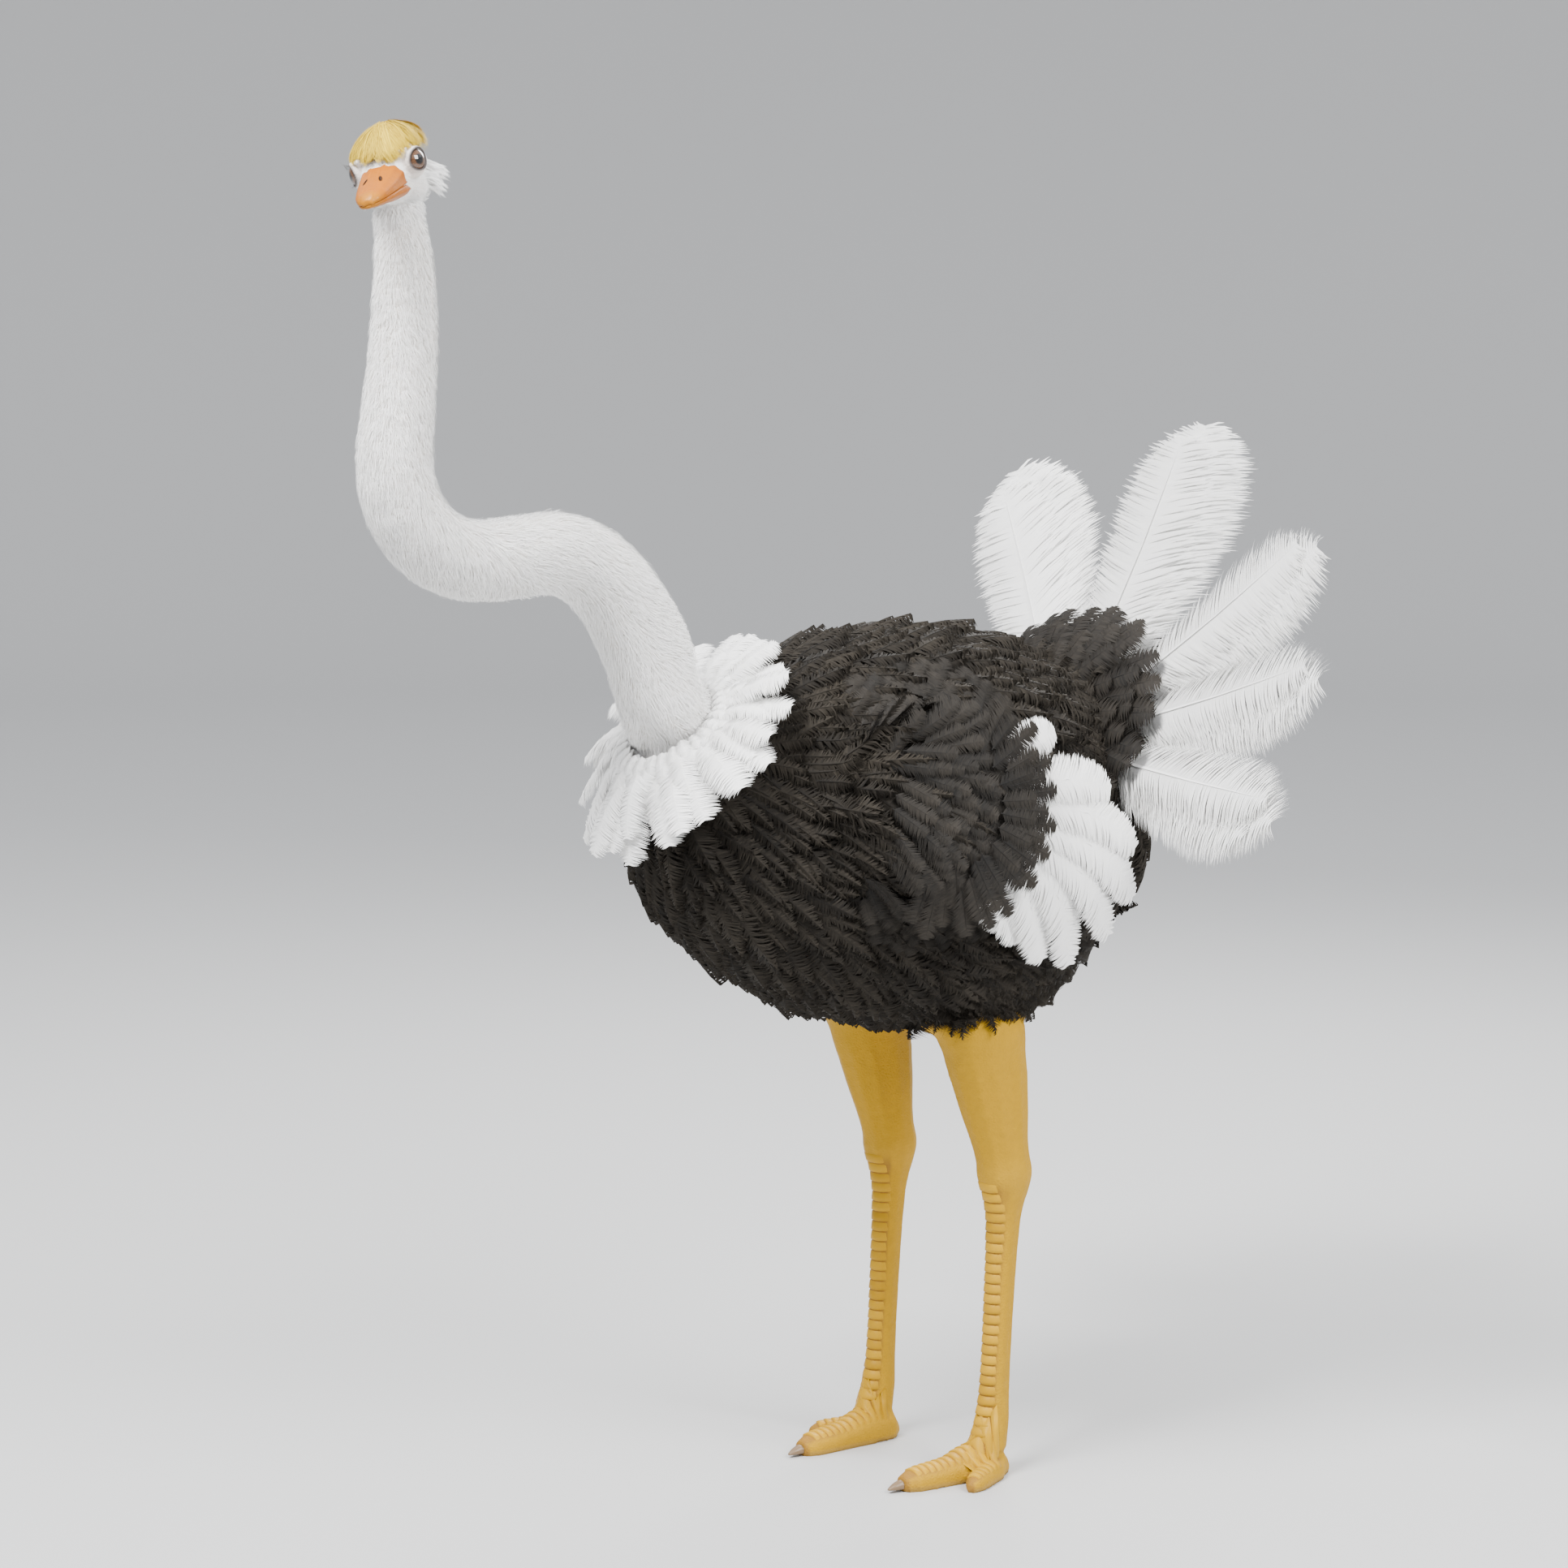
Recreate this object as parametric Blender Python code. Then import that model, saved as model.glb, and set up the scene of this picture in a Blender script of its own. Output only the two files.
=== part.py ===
"""A life-size standing male ostrich, in metres, +Z up, facing -Y, its left side at +X.

Each piece is the outer form of one part of the bird, out to the tips of its feathers. The trunk, head and eyes
are whole, and each piece that grows from another is carved back to it with a hair's clearance.
"""

import math

import bmesh
import bpy
from mathutils import Matrix, Vector

GAP = 0.0004  # clearance between pieces that touch

# Trunk, from chest to rump: (y, half width, top, bottom)
TRUNK_SECTIONS = (
    (-0.590, 0.030, 1.160, 1.090),
    (-0.575, 0.085, 1.215, 1.020),
    (-0.530, 0.148, 1.275, 0.945),
    (-0.440, 0.205, 1.335, 0.865),
    (-0.300, 0.253, 1.390, 0.793),
    (-0.120, 0.278, 1.415, 0.750),
    (0.060, 0.275, 1.405, 0.745),
    (0.200, 0.252, 1.360, 0.770),
    (0.310, 0.208, 1.290, 0.840),
    (0.392, 0.135, 1.205, 0.935),
    (0.430, 0.035, 1.115, 1.035),
)
TRUNK_RINGS = 17
TRUNK_SIDES = 20
# Swell of the feathers over each thigh: where it is greatest, how far it spreads, and which way it pushes
HAUNCH_CENTRE = Vector((0.170, 0.010, 0.800))
HAUNCH_SPREAD = Vector((0.120, 0.210, 0.160))
HAUNCH_SWELL = Vector((0.038, 0.000, -0.036))

# Neck, in the plane x = 0: the (y, z) points of its axis, from inside the chest to inside the head
NECK_ROUTE = (
    (-0.380, 1.120),
    (-0.498, 1.262),
    (-0.580, 1.420),
    (-0.645, 1.505),
    (-0.725, 1.548),
    (-0.815, 1.545),
    (-0.905, 1.545),
    (-0.985, 1.588),
    (-1.026, 1.670),
    (-1.020, 1.760),
    (-1.008, 1.870),
    (-1.006, 1.980),
    (-1.013, 2.070),
    (-1.016, 2.110),
)
# Neck radius by share of its length
NECK_RADIUS = (
    (0.00, 0.125),
    (0.12, 0.098),
    (0.22, 0.078),
    (0.40, 0.069),
    (0.60, 0.065),
    (0.80, 0.056),
    (0.93, 0.046),
    (1.00, 0.030),
)
NECK_PARTS = (("neck_lower", 0.0, 0.36), ("neck_middle", 0.36, 0.64), ("neck_upper", 0.64, 0.99))
NECK_SIDES = 12
NECK_RING_SPACING = 0.045

# Head frame: origin midway between the eyes, bill towards -Y, its own left at +X
HEAD_AT = Vector((0.023, -1.041, 2.124))
HEAD_YAW = math.radians(42)
HEAD_PITCH = math.radians(10)
HEAD_ROLL = math.radians(-14)
HEAD_MATRIX = (
    Matrix.Translation(HEAD_AT)
    @ Matrix.Rotation(HEAD_YAW, 4, "Z")
    @ Matrix.Rotation(HEAD_PITCH, 4, "X")
    @ Matrix.Rotation(HEAD_ROLL, 4, "Y")
)
# Skull with its short feathers, from nape to forehead, in the head frame: (y, half width, top, bottom)
SKULL_SECTIONS = (
    (0.090, 0.012, 0.004, -0.034),
    (0.083, 0.029, 0.022, -0.050),
    (0.063, 0.041, 0.038, -0.062),
    (0.035, 0.047, 0.046, -0.064),
    (0.005, 0.048, 0.048, -0.057),
    (-0.020, 0.042, 0.043, -0.049),
    (-0.042, 0.036, 0.031, -0.043),
    (-0.060, 0.032, 0.018, -0.038),
    (-0.072, 0.026, 0.008, -0.033),
)
EYE_CENTRE = Vector((0.0325, -0.016, 0.007))
EYE_RADIUS = 0.0255
EAR_CENTRE = Vector((0.041, 0.046, -0.016))
EAR_SIZE = Vector((0.012, 0.018, 0.016))
# Bill, from under the face to its tip, in the head frame: (y, half width, top, gape, bottom)
BILL_SECTIONS = (
    (-0.030, 0.0350, 0.019, -0.0200, -0.0400),
    (-0.060, 0.0350, 0.017, -0.0205, -0.0395),
    (-0.085, 0.0325, 0.008, -0.0215, -0.0375),
    (-0.110, 0.0290, 0.000, -0.0230, -0.0360),
    (-0.135, 0.0240, -0.007, -0.0245, -0.0345),
    (-0.152, 0.0165, -0.013, -0.0260, -0.0330),
    (-0.160, 0.0070, -0.020, -0.0270, -0.0310),
)
CROWN_CENTRE = Vector((0, 0.018, 0.014))
CROWN_SIZE = Vector((0.060, 0.082, 0.056))
CROWN_HEM_FRONT = Vector((0, -0.045, 0.033))  # the fringe at the forehead
CROWN_HEM_SLOPE = 0.42  # how fast the hem falls towards the nape

# Ruff of white feathers round the neck's foot
COLLAR_SHARE = 0.125  # how far along the neck it sits
COLLAR_INNER_RADIUS = 0.080
COLLAR_FRONT_REACH = 0.160
COLLAR_BACK_REACH = 0.125
COLLAR_FRONT_SLOPE = math.radians(26)  # how steeply the lobes fall towards the body
COLLAR_BACK_SLOPE = math.radians(-24)
COLLAR_THICKNESS = 0.022
COLLAR_LOBES = 13
COLLAR_NOTCH = 0.30
COLLAR_STEPS = 4 * COLLAR_LOBES
# across one lobe's length: (share of its reach, share of its thickness)
COLLAR_SECTION = ((0, 0), (0.15, 0.8), (0.6, 1), (1, 0), (0.6, -0.7), (0.15, -0.7))

# Folded wing: coverts, then the white flight plumes that sweep out from under them
WING_CENTRE = Vector((0.272, -0.205, 1.150))
WING_RADIUS = 0.200
WING_THICKNESS = 0.042
WING_LOBES = 14
WING_NOTCH = 0.10  # at the rear and lower edge; the front edge is smooth
WING_SWEEP = math.radians(40)
FLIGHT_ROOT = Vector((0.280, -0.150, 1.125))
FLIGHT_THICKNESS = 0.034
# each flight plume: (direction in degrees above straight back, length, half angle of its lobe)
FLIGHT_PLUMES = (
    (38, 0.185, 17),
    (8, 0.300, 13),
    (-8, 0.360, 10),
    (-20, 0.385, 9),
    (-31, 0.380, 9),
    (-44, 0.350, 10),
    (-60, 0.300, 12),
    (-80, 0.215, 15),
)
FLIGHT_LEAST_REACH = 0.090

# Tail: a fan of plumes about an axis that points up and back
TAIL_ROOT = Vector((0, 0.290, 1.185))
TAIL_TILT = math.radians(55)
# each tail plume: (degrees from the fan's middle, reach, half width)
TAIL_PLUMES = (
    (-100, 0.600, 0.080),
    (-80, 0.560, 0.088),
    (-38, 0.645, 0.112),
    (2, 0.620, 0.135),
    (47, 0.580, 0.105),
    (75, 0.590, 0.092),
    (100, 0.630, 0.080),
)
TAIL_PLUME_START = 0.085
# how a plume's half width grows and shrinks along it, as a share of its greatest
TAIL_PLUME_OUTLINE = ((0, 0.20), (0.25, 0.55), (0.55, 0.90), (0.75, 1.0), (0.92, 0.76), (1, 0.22))
TAIL_PLUME_HALF_THICKNESS = 0.013
TAIL_PLUME_DROOP = 0.045
TAIL_COVERT_RADIUS = 0.255
TAIL_COVERT_THICKNESS = 0.095
TAIL_COVERT_LOBES = 11
TAIL_COVERT_NOTCH = 0.14

# Legs: (height, y, half width, half depth) down the leg, the outside of skin and scales
LEG_X = 0.148
THIGH_SECTIONS = (
    (0.900, -0.040, 0.068, 0.092),
    (0.800, -0.015, 0.070, 0.088),
    (0.730, 0.000, 0.064, 0.080),
    (0.660, 0.017, 0.054, 0.069),
    (0.600, 0.030, 0.047, 0.060),
    (0.550, 0.041, 0.0400, 0.050),
    (0.518, 0.049, 0.0370, 0.046),
)
SHANK_SECTIONS = (
    (0.517, 0.049, 0.0370, 0.046),
    (0.490, 0.052, 0.0360, 0.043),
    (0.455, 0.051, 0.0310, 0.037),
    (0.410, 0.048, 0.0250, 0.0300),
    (0.300, 0.041, 0.0225, 0.0270),
    (0.180, 0.034, 0.0220, 0.0260),
    (0.110, 0.029, 0.0240, 0.0280),
    (0.075, 0.023, 0.0280, 0.0330),
    (0.045, 0.015, 0.0300, 0.0350),
)
LEG_SIDES = 11
# Toes: (distance forward of the heel pad, half width, top); their soles are the floor
MAIN_TOE_SECTIONS = (
    (0.000, 0.012, 0.022),
    (0.010, 0.026, 0.042),
    (0.035, 0.034, 0.058),
    (0.080, 0.034, 0.056),
    (0.120, 0.029, 0.041),
    (0.160, 0.028, 0.037),
    (0.195, 0.025, 0.033),
    (0.215, 0.016, 0.024),
)
SIDE_TOE_SECTIONS = (
    (0.030, 0.012, 0.024),
    (0.050, 0.020, 0.038),
    (0.085, 0.0185, 0.032),
    (0.115, 0.0180, 0.029),
    (0.138, 0.0150, 0.025),
    (0.150, 0.0080, 0.016),
)
TOE_HEEL_Y = 0.060
MAIN_TOE_TURN = math.radians(-3)
SIDE_TOE_TURN = math.radians(27)
CLAW_SECTIONS = (
    (0.000, 0.0120, 0.0175),
    (0.016, 0.0105, 0.0150),
    (0.032, 0.0070, 0.0095),
    (0.042, 0.0025, 0.0035),
)
CLAW_START = 0.200
CLAW_LIFT = 0.0045

FINISHES = {
    "black_feather": ((0.030, 0.027, 0.024), 0.75),
    "white_feather": ((0.84, 0.83, 0.80), 0.75),
    "pale_down": ((0.80, 0.78, 0.74), 0.80),
    "straw_bristle": ((0.72, 0.60, 0.30), 0.65),
    "leg_scale": ((0.62, 0.38, 0.07), 0.50),
    "bill_horn": ((0.70, 0.33, 0.07), 0.35),
    "claw_horn": ((0.30, 0.20, 0.10), 0.40),
    "eye": ((0.05, 0.025, 0.012), 0.05),
}


def finish(name):
    """The material of that name, made once."""
    material = bpy.data.materials.get(name)
    if material is None:
        colour, roughness = FINISHES[name]
        material = bpy.data.materials.new(name)
        material.use_nodes = True
        shader = material.node_tree.nodes["Principled BSDF"]
        shader.inputs["Base Color"].default_value = (*colour, 1)
        shader.inputs["Roughness"].default_value = roughness
        shader.inputs["Metallic"].default_value = 0
    return material


def smooth_through(stops):
    """A smooth function of its first number through stops, each (at, value, value, ...); it gives the values."""

    def slope(i, k):
        before, after = stops[max(i - 1, 0)], stops[min(i + 1, len(stops) - 1)]
        return (after[k] - before[k]) / (after[0] - before[0])

    def value(at):
        i = 0
        while i < len(stops) - 2 and abs(at - stops[0][0]) > abs(stops[i + 1][0] - stops[0][0]):
            i += 1
        start, end = stops[i], stops[i + 1]
        span = end[0] - start[0]
        t = (at - start[0]) / span
        h10, h01, h11 = t * (1 - t) ** 2, t * t * (3 - 2 * t), t * t * (t - 1)
        return [
            (1 - h01) * start[k] + h10 * span * slope(i, k) + h01 * end[k] + h11 * span * slope(i + 1, k)
            for k in range(1, len(stops[0]))
        ]

    return value


def triangulated(mesh):
    """Splits the faces of mesh for good, so that a swollen copy of it keeps the same folds."""
    bm = bmesh.new()
    bm.from_mesh(mesh)
    bmesh.ops.triangulate(bm, faces=bm.faces[:])
    bm.to_mesh(mesh)
    bm.free()


def new_object(name, mesh, finish_name):
    triangulated(mesh)
    mesh.materials.append(finish(finish_name))
    mesh.shade_smooth()
    mesh.set_sharp_from_angle(angle=math.radians(50))
    piece = bpy.data.objects.new(name, mesh)
    PARTS.objects.link(piece)
    return piece


def loft(name, rings, finish_name, closed_round=False):
    """A closed skin over rings of points: capped at both ends, or joined end to end where closed_round is set."""
    bm = bmesh.new()
    rows = [[bm.verts.new(point) for point in ring] for ring in rings]
    pairs = list(zip(rows, rows[1:]))
    if closed_round:
        pairs.append((rows[-1], rows[0]))
    for near, far in pairs:
        for i in range(len(near)):
            j = (i + 1) % len(near)
            bm.faces.new((near[i], near[j], far[j], far[i]))
    if not closed_round:
        for row in (rows[0], rows[-1]):
            tip = bm.verts.new(sum((v.co for v in row), Vector()) / len(row))
            for i in range(len(row)):
                bm.faces.new((row[i], row[(i + 1) % len(row)], tip))
    bmesh.ops.recalc_face_normals(bm, faces=bm.faces[:])
    mesh = bpy.data.meshes.new(name)
    bm.to_mesh(mesh)
    bm.free()
    return new_object(name, mesh, finish_name)


def oval(centre, side, up, half_width, top, bottom, sides, squareness=2.0):
    """Points round a rounded section: top and bottom are distances from centre along up."""
    middle, half_height = (top + bottom) / 2, (top - bottom) / 2
    points = []
    for i in range(sides):
        angle = math.tau * (i + 0.5) / sides
        across, along = (
            math.copysign(abs(f) ** (2 / squareness), f) for f in (math.cos(angle), math.sin(angle))
        )
        points.append(centre + side * (half_width * across) + up * (middle + half_height * along))
    return points


def evenly(start, end, count):
    return [start + (end - start) * i / (count - 1) for i in range(count)]


def eased(start, end, count):
    """Steps that crowd towards both ends, as the latitudes of a ball do."""
    return [start + (end - start) * (1 - math.cos(math.pi * i / (count - 1))) / 2 for i in range(count)]


def offset_copy(piece, distance):
    """A hidden copy of piece, swollen by distance, to cut its neighbours with."""
    mesh = piece.data.copy()
    bm = bmesh.new()
    bm.from_mesh(mesh)
    bm.normal_update()
    moved = [vert.co + vert.normal * distance for vert in bm.verts]
    for vert, place in zip(bm.verts, moved):
        vert.co = place
    bm.to_mesh(mesh)
    bm.free()
    cutter = bpy.data.objects.new(piece.name + "_cutter", mesh)
    cutter.hide_render = True
    cutter.display_type = "WIRE"
    CUTTERS.objects.link(cutter)
    return cutter


def keep_largest(mesh):
    """Removes all but the piece of mesh that holds the most space."""
    bm = bmesh.new()
    bm.from_mesh(mesh)
    waiting, groups = set(bm.faces), []
    while waiting:
        front, group = [waiting.pop()], []
        while front:
            face = front.pop()
            group.append(face)
            near = {other for edge in face.edges for other in edge.link_faces} & waiting
            waiting -= near
            front.extend(near)
        groups.append(group)

    def volume(group):
        corners = [[vert.co for vert in face.verts] for face in group]
        return abs(sum(c[0].dot(c[i].cross(c[i + 1])) for c in corners for i in range(1, len(c) - 1)))

    groups.sort(key=volume)
    for group in groups[:-1]:
        bmesh.ops.delete(bm, geom=group, context="FACES")
    bm.to_mesh(mesh)
    bm.free()


def carve(piece, *neighbours):
    """Cuts piece back to its neighbours, less the clearance, and keeps its largest body."""
    for neighbour in neighbours:
        cutter = offset_copy(neighbour, GAP)
        cut = piece.modifiers.new("carve", "BOOLEAN")
        cut.operation = "DIFFERENCE"
        cut.solver = "EXACT"
        cut.object = cutter
        bpy.context.view_layer.update()
        carved = bpy.data.meshes.new_from_object(piece.evaluated_get(bpy.context.evaluated_depsgraph_get()))
        piece.modifiers.clear()
        keep_largest(carved)
        triangulated(carved)
        piece.data = carved
        bpy.data.objects.remove(cutter)
    return piece


def mirrored(piece, name):
    """The same piece on the other side of the plane x = 0."""
    mesh = piece.data.copy()
    mesh.transform(Matrix.Scale(-1, 4, (1, 0, 0)))
    mesh.flip_normals()
    other = bpy.data.objects.new(name, mesh)
    PARTS.objects.link(other)
    return other


def section_rings(sections, steps, sides, squareness):
    """Rings across Y through (y, half width, top, bottom) sections."""
    shape = smooth_through(sections)
    across, upward = Vector((1, 0, 0)), Vector((0, 0, 1))
    rings = []
    for y in steps:
        half_width, top, bottom = shape(y)
        rings.append(oval(Vector((0, y, 0)), across, upward, half_width, top, bottom, sides, squareness))
    return rings


def with_haunch(point):
    """Moves a point of the trunk's surface out where a thigh lies under it."""
    side = math.copysign(1, point.x)
    away = [(abs(point.x) - HAUNCH_CENTRE.x) / HAUNCH_SPREAD.x]
    away += [(point[k] - HAUNCH_CENTRE[k]) / HAUNCH_SPREAD[k] for k in (1, 2)]
    share = math.exp(-sum(d * d for d in away))
    return point + share * Vector((side * HAUNCH_SWELL.x, HAUNCH_SWELL.y, HAUNCH_SWELL.z))


def trunk():
    """The egg of the body, with a swell over each thigh."""
    steps = eased(TRUNK_SECTIONS[0][0], TRUNK_SECTIONS[-1][0], TRUNK_RINGS)
    rings = section_rings(TRUNK_SECTIONS, steps, TRUNK_SIDES, 2.1)
    return loft("trunk", [[with_haunch(point) for point in ring] for ring in rings], "black_feather")


def neck_frame():
    """A function of the share of the neck's length, giving (point, forward, radius), and that length."""
    stops = [(float(i), y, z) for i, (y, z) in enumerate(NECK_ROUTE)]
    route = smooth_through(stops)
    fine = [Vector((0, *route(at))) for at in evenly(0, len(stops) - 1, 400)]
    run = [0.0]
    for before, after in zip(fine, fine[1:]):
        run.append(run[-1] + (after - before).length)
    radius = smooth_through(NECK_RADIUS)

    def point(share):
        at = min(max(share, 0), 1) * run[-1]
        i = min(max(k for k in range(len(run)) if run[k] <= at), len(fine) - 2)
        return fine[i].lerp(fine[i + 1], (at - run[i]) / (run[i + 1] - run[i]))

    def frame(share):
        forward = (point(share + 0.01) - point(share - 0.01)).normalized()
        return point(share), forward, radius(share)[0]

    return frame, run[-1]


def neck_part(name, first, last):
    frame, length = neck_frame()
    shares = evenly(first, last, round((last - first) * length / NECK_RING_SPACING) + 1)
    rings = []
    for share in shares:
        point, forward, radius = frame(share)
        if share == shares[0]:
            point += forward * (GAP / 2)
        if share == shares[-1]:
            point -= forward * (GAP / 2)
        side = Vector((1, 0, 0))
        rings.append(oval(point, side, side.cross(forward), radius, radius, -radius, NECK_SIDES))
    return loft(name, rings, "pale_down")


def scallop(turn, lobes, notch):
    """A rim of round lobes with sharp notches between them, as a share of its full reach."""
    return 1 - notch * (1 - abs(math.sin(turn * lobes / 2)) ** 0.6)


def collar():
    """The ruff: leaf-shaped sections swept round the neck's axis, longest in front."""
    frame, _ = neck_frame()
    centre, forward, _ = frame(COLLAR_SHARE)
    side = Vector((1, 0, 0))
    front = -side.cross(forward) if side.cross(forward).z > 0 else side.cross(forward)
    rings = []
    for i in range(COLLAR_STEPS):
        turn = math.tau * i / COLLAR_STEPS
        frontness = (1 + math.cos(turn)) / 2
        outward = front * math.cos(turn) + side * math.sin(turn)
        slope = COLLAR_BACK_SLOPE + (COLLAR_FRONT_SLOPE - COLLAR_BACK_SLOPE) * frontness
        along = outward * math.cos(slope) - forward * math.sin(slope)
        proud = outward * math.sin(slope) + forward * math.cos(slope)
        lobe = scallop(turn, COLLAR_LOBES, COLLAR_NOTCH)
        reach = (COLLAR_BACK_REACH + (COLLAR_FRONT_REACH - COLLAR_BACK_REACH) * frontness) * lobe
        start = centre + outward * COLLAR_INNER_RADIUS
        section = [(share * reach, height * COLLAR_THICKNESS) for share, height in COLLAR_SECTION]
        rings.append([start + along * out + proud * lift for out, lift in section])
    return loft("collar", rings, "white_feather", closed_round=True)


def fan(name, centre, back, up, reach, thickness, turns, finish_name):
    """A lens whose rim lies reach(turn) from centre at each of turns, angles that run from back towards up."""
    out = back.cross(up)
    latitudes = [math.radians(a) for a in (-60, 0, 34, 64)]
    rings = []
    for latitude in latitudes:
        rings.append(
            [
                centre
                + (back * math.cos(turn) + up * math.sin(turn)) * (reach(turn) * math.cos(latitude))
                + out * (thickness * math.sin(latitude))
                for turn in turns
            ]
        )
    return loft(name, rings, finish_name)


def full_circle(steps):
    return [math.tau * i / steps for i in range(steps)]


def wing_coverts():
    def reach(turn):
        rear = (1 + math.cos(turn + WING_SWEEP)) / 2
        return WING_RADIUS * scallop(turn, WING_LOBES, WING_NOTCH * rear)

    back, up = Vector((0.10, 1, 0)).normalized(), Vector((-0.12, 0, 1)).normalized()
    turns = full_circle(3 * WING_LOBES)
    return fan("wing_left", WING_CENTRE, back, up, reach, WING_THICKNESS, turns, "black_feather")


def flight_turns():
    """Angles at each flight plume's tip, shoulders and notches, with a few round the hidden front."""
    wanted = []
    for direction, _, half_angle in FLIGHT_PLUMES:
        wanted += [direction + half_angle * k for k in (-0.5, 0, 0.5, 1)]
    wanted += evenly(-100, -290, 6)
    wanted.sort()
    kept = [angle for before, angle in zip([-999] + wanted, wanted) if angle - before > 3]
    return [math.radians(angle) for angle in kept]


def flight_plumes():
    def reach(turn):
        degrees = math.degrees(turn)
        longest = FLIGHT_LEAST_REACH
        for direction, length, half_angle in FLIGHT_PLUMES:
            off = abs((degrees - direction + 180) % 360 - 180) / half_angle
            if off < 1.6:
                longest = max(longest, length * (1 - 0.20 * off**2.5))
        return longest

    back, up = Vector((0.03, 1, 0)).normalized(), Vector((-0.07, 0, 1)).normalized()
    turns = flight_turns()
    return fan("wing_left_plumes", FLIGHT_ROOT, back, up, reach, FLIGHT_THICKNESS, turns, "white_feather")


def tail_axes():
    axis = Vector((0, math.cos(TAIL_TILT), math.sin(TAIL_TILT)))
    side = Vector((1, 0, 0))
    return axis, side, axis.cross(side)


def tail_coverts():
    axis, side, _ = tail_axes()

    def reach(turn):
        spread = abs((turn + math.pi) % math.tau - math.pi)
        return TAIL_COVERT_RADIUS * scallop(turn, TAIL_COVERT_LOBES, TAIL_COVERT_NOTCH) * (1 - 0.06 * spread)

    turns = full_circle(4 * TAIL_COVERT_LOBES)
    return fan("tail_coverts", TAIL_ROOT, axis, side, reach, TAIL_COVERT_THICKNESS, turns, "black_feather")


def tail_plume(name, degrees, length, half_width):
    """A long leaf that starts narrow under the coverts and droops back at its tip."""
    axis, side, out = tail_axes()
    turn = math.radians(degrees)
    along = axis * math.cos(turn) + side * math.sin(turn)
    across = side * math.cos(turn) - axis * math.sin(turn)
    outline = smooth_through(TAIL_PLUME_OUTLINE)
    rings = []
    for share in evenly(0, 1, 9):
        at = TAIL_PLUME_START + (length - TAIL_PLUME_START) * share
        centre = TAIL_ROOT + along * at - out * (TAIL_PLUME_DROOP * share**2)
        wide = half_width * outline(share)[0]
        thick = TAIL_PLUME_HALF_THICKNESS * (0.45 + 0.55 * math.sin(math.pi * min(share + 0.15, 1)))
        rings.append(oval(centre, across, out, wide, thick, -thick, 8))
    return loft(name, rings, "white_feather")


def limb(name, sections, count):
    """A leg's length, through (height, y, half width, half depth) sections."""
    shape = smooth_through(sections)
    rings = []
    for height in evenly(sections[0][0], sections[-1][0], count):
        y, half_width, half_depth = shape(height)
        centre = Vector((LEG_X, y, height))
        across, forward = Vector((1, 0, 0)), Vector((0, 1, 0))
        rings.append(oval(centre, across, forward, half_width, half_depth, -half_depth, LEG_SIDES))
    return loft(name, rings, "leg_scale")


def floor_piece(name, sections, count, start, turn, lift, finish_name):
    """A toe or claw that points forward from start, turned outwards, its underside flat at the floor or lift."""
    shape = smooth_through(sections)
    forward = Vector((math.sin(turn), -math.cos(turn), 0))
    side = Vector((0, 0, 1)).cross(forward)
    rings = []
    for at in evenly(sections[0][0], sections[-1][0], count):
        half_width, top = shape(at)
        ring = oval(start + forward * at, side, Vector((0, 0, 1)), half_width, top, -0.35 * top, 10, 2.2)
        rings.append([Vector((p.x, p.y, max(p.z, 0) + lift)) for p in ring])
    return loft(name, rings, finish_name)


def foot():
    """The two toes and the big toe's claw, as pieces of the left foot."""
    heel = Vector((LEG_X - 0.004, TOE_HEEL_Y, 0))
    main = floor_piece("toe_main_left", MAIN_TOE_SECTIONS, 10, heel, MAIN_TOE_TURN, 0, "leg_scale")
    side = floor_piece("toe_side_left", SIDE_TOE_SECTIONS, 8, heel, SIDE_TOE_TURN, 0, "leg_scale")
    tip = heel + Vector((math.sin(MAIN_TOE_TURN), -math.cos(MAIN_TOE_TURN), 0)) * CLAW_START
    claw = floor_piece("claw_left", CLAW_SECTIONS, 5, tip, MAIN_TOE_TURN, CLAW_LIFT, "claw_horn")
    carve(side, main)
    carve(claw, main)
    return main, side, claw


def leg(body):
    thigh = carve(limb("thigh_left", THIGH_SECTIONS, 9), body)
    shank = limb("shank_left", SHANK_SECTIONS, 11)
    toes = foot()
    carve(shank, toes[0], toes[1])
    for piece in (thigh, shank, *toes):
        mirrored(piece, piece.name.replace("_left", "_right"))


def ball(name, centre, size, segments, rings, finish_name, matrix, hem=None):
    """An ellipsoid placed by matrix; hem, a (point, upward normal), cuts off what lies below it."""
    bm = bmesh.new()
    bmesh.ops.create_uvsphere(bm, u_segments=segments, v_segments=rings, radius=1)
    bm.transform(Matrix.Translation(centre) @ Matrix.Diagonal((*size, 1)))
    if hem:
        everything = bm.verts[:] + bm.edges[:] + bm.faces[:]
        bmesh.ops.bisect_plane(bm, geom=everything, plane_co=hem[0], plane_no=hem[1], clear_inner=True)
        bmesh.ops.edgeloop_fill(bm, edges=[edge for edge in bm.edges if edge.is_boundary])
    bm.transform(matrix)
    bmesh.ops.recalc_face_normals(bm, faces=bm.faces[:])
    mesh = bpy.data.meshes.new(name)
    bm.to_mesh(mesh)
    bm.free()
    return new_object(name, mesh, finish_name)


def crown():
    """The cap of hair-like feathers over the skull, cut off at its hem."""
    hem = (CROWN_HEM_FRONT, Vector((0, CROWN_HEM_SLOPE, 1)).normalized())
    return ball("crown", CROWN_CENTRE, CROWN_SIZE, 14, 8, "straw_bristle", HEAD_MATRIX, hem)


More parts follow.
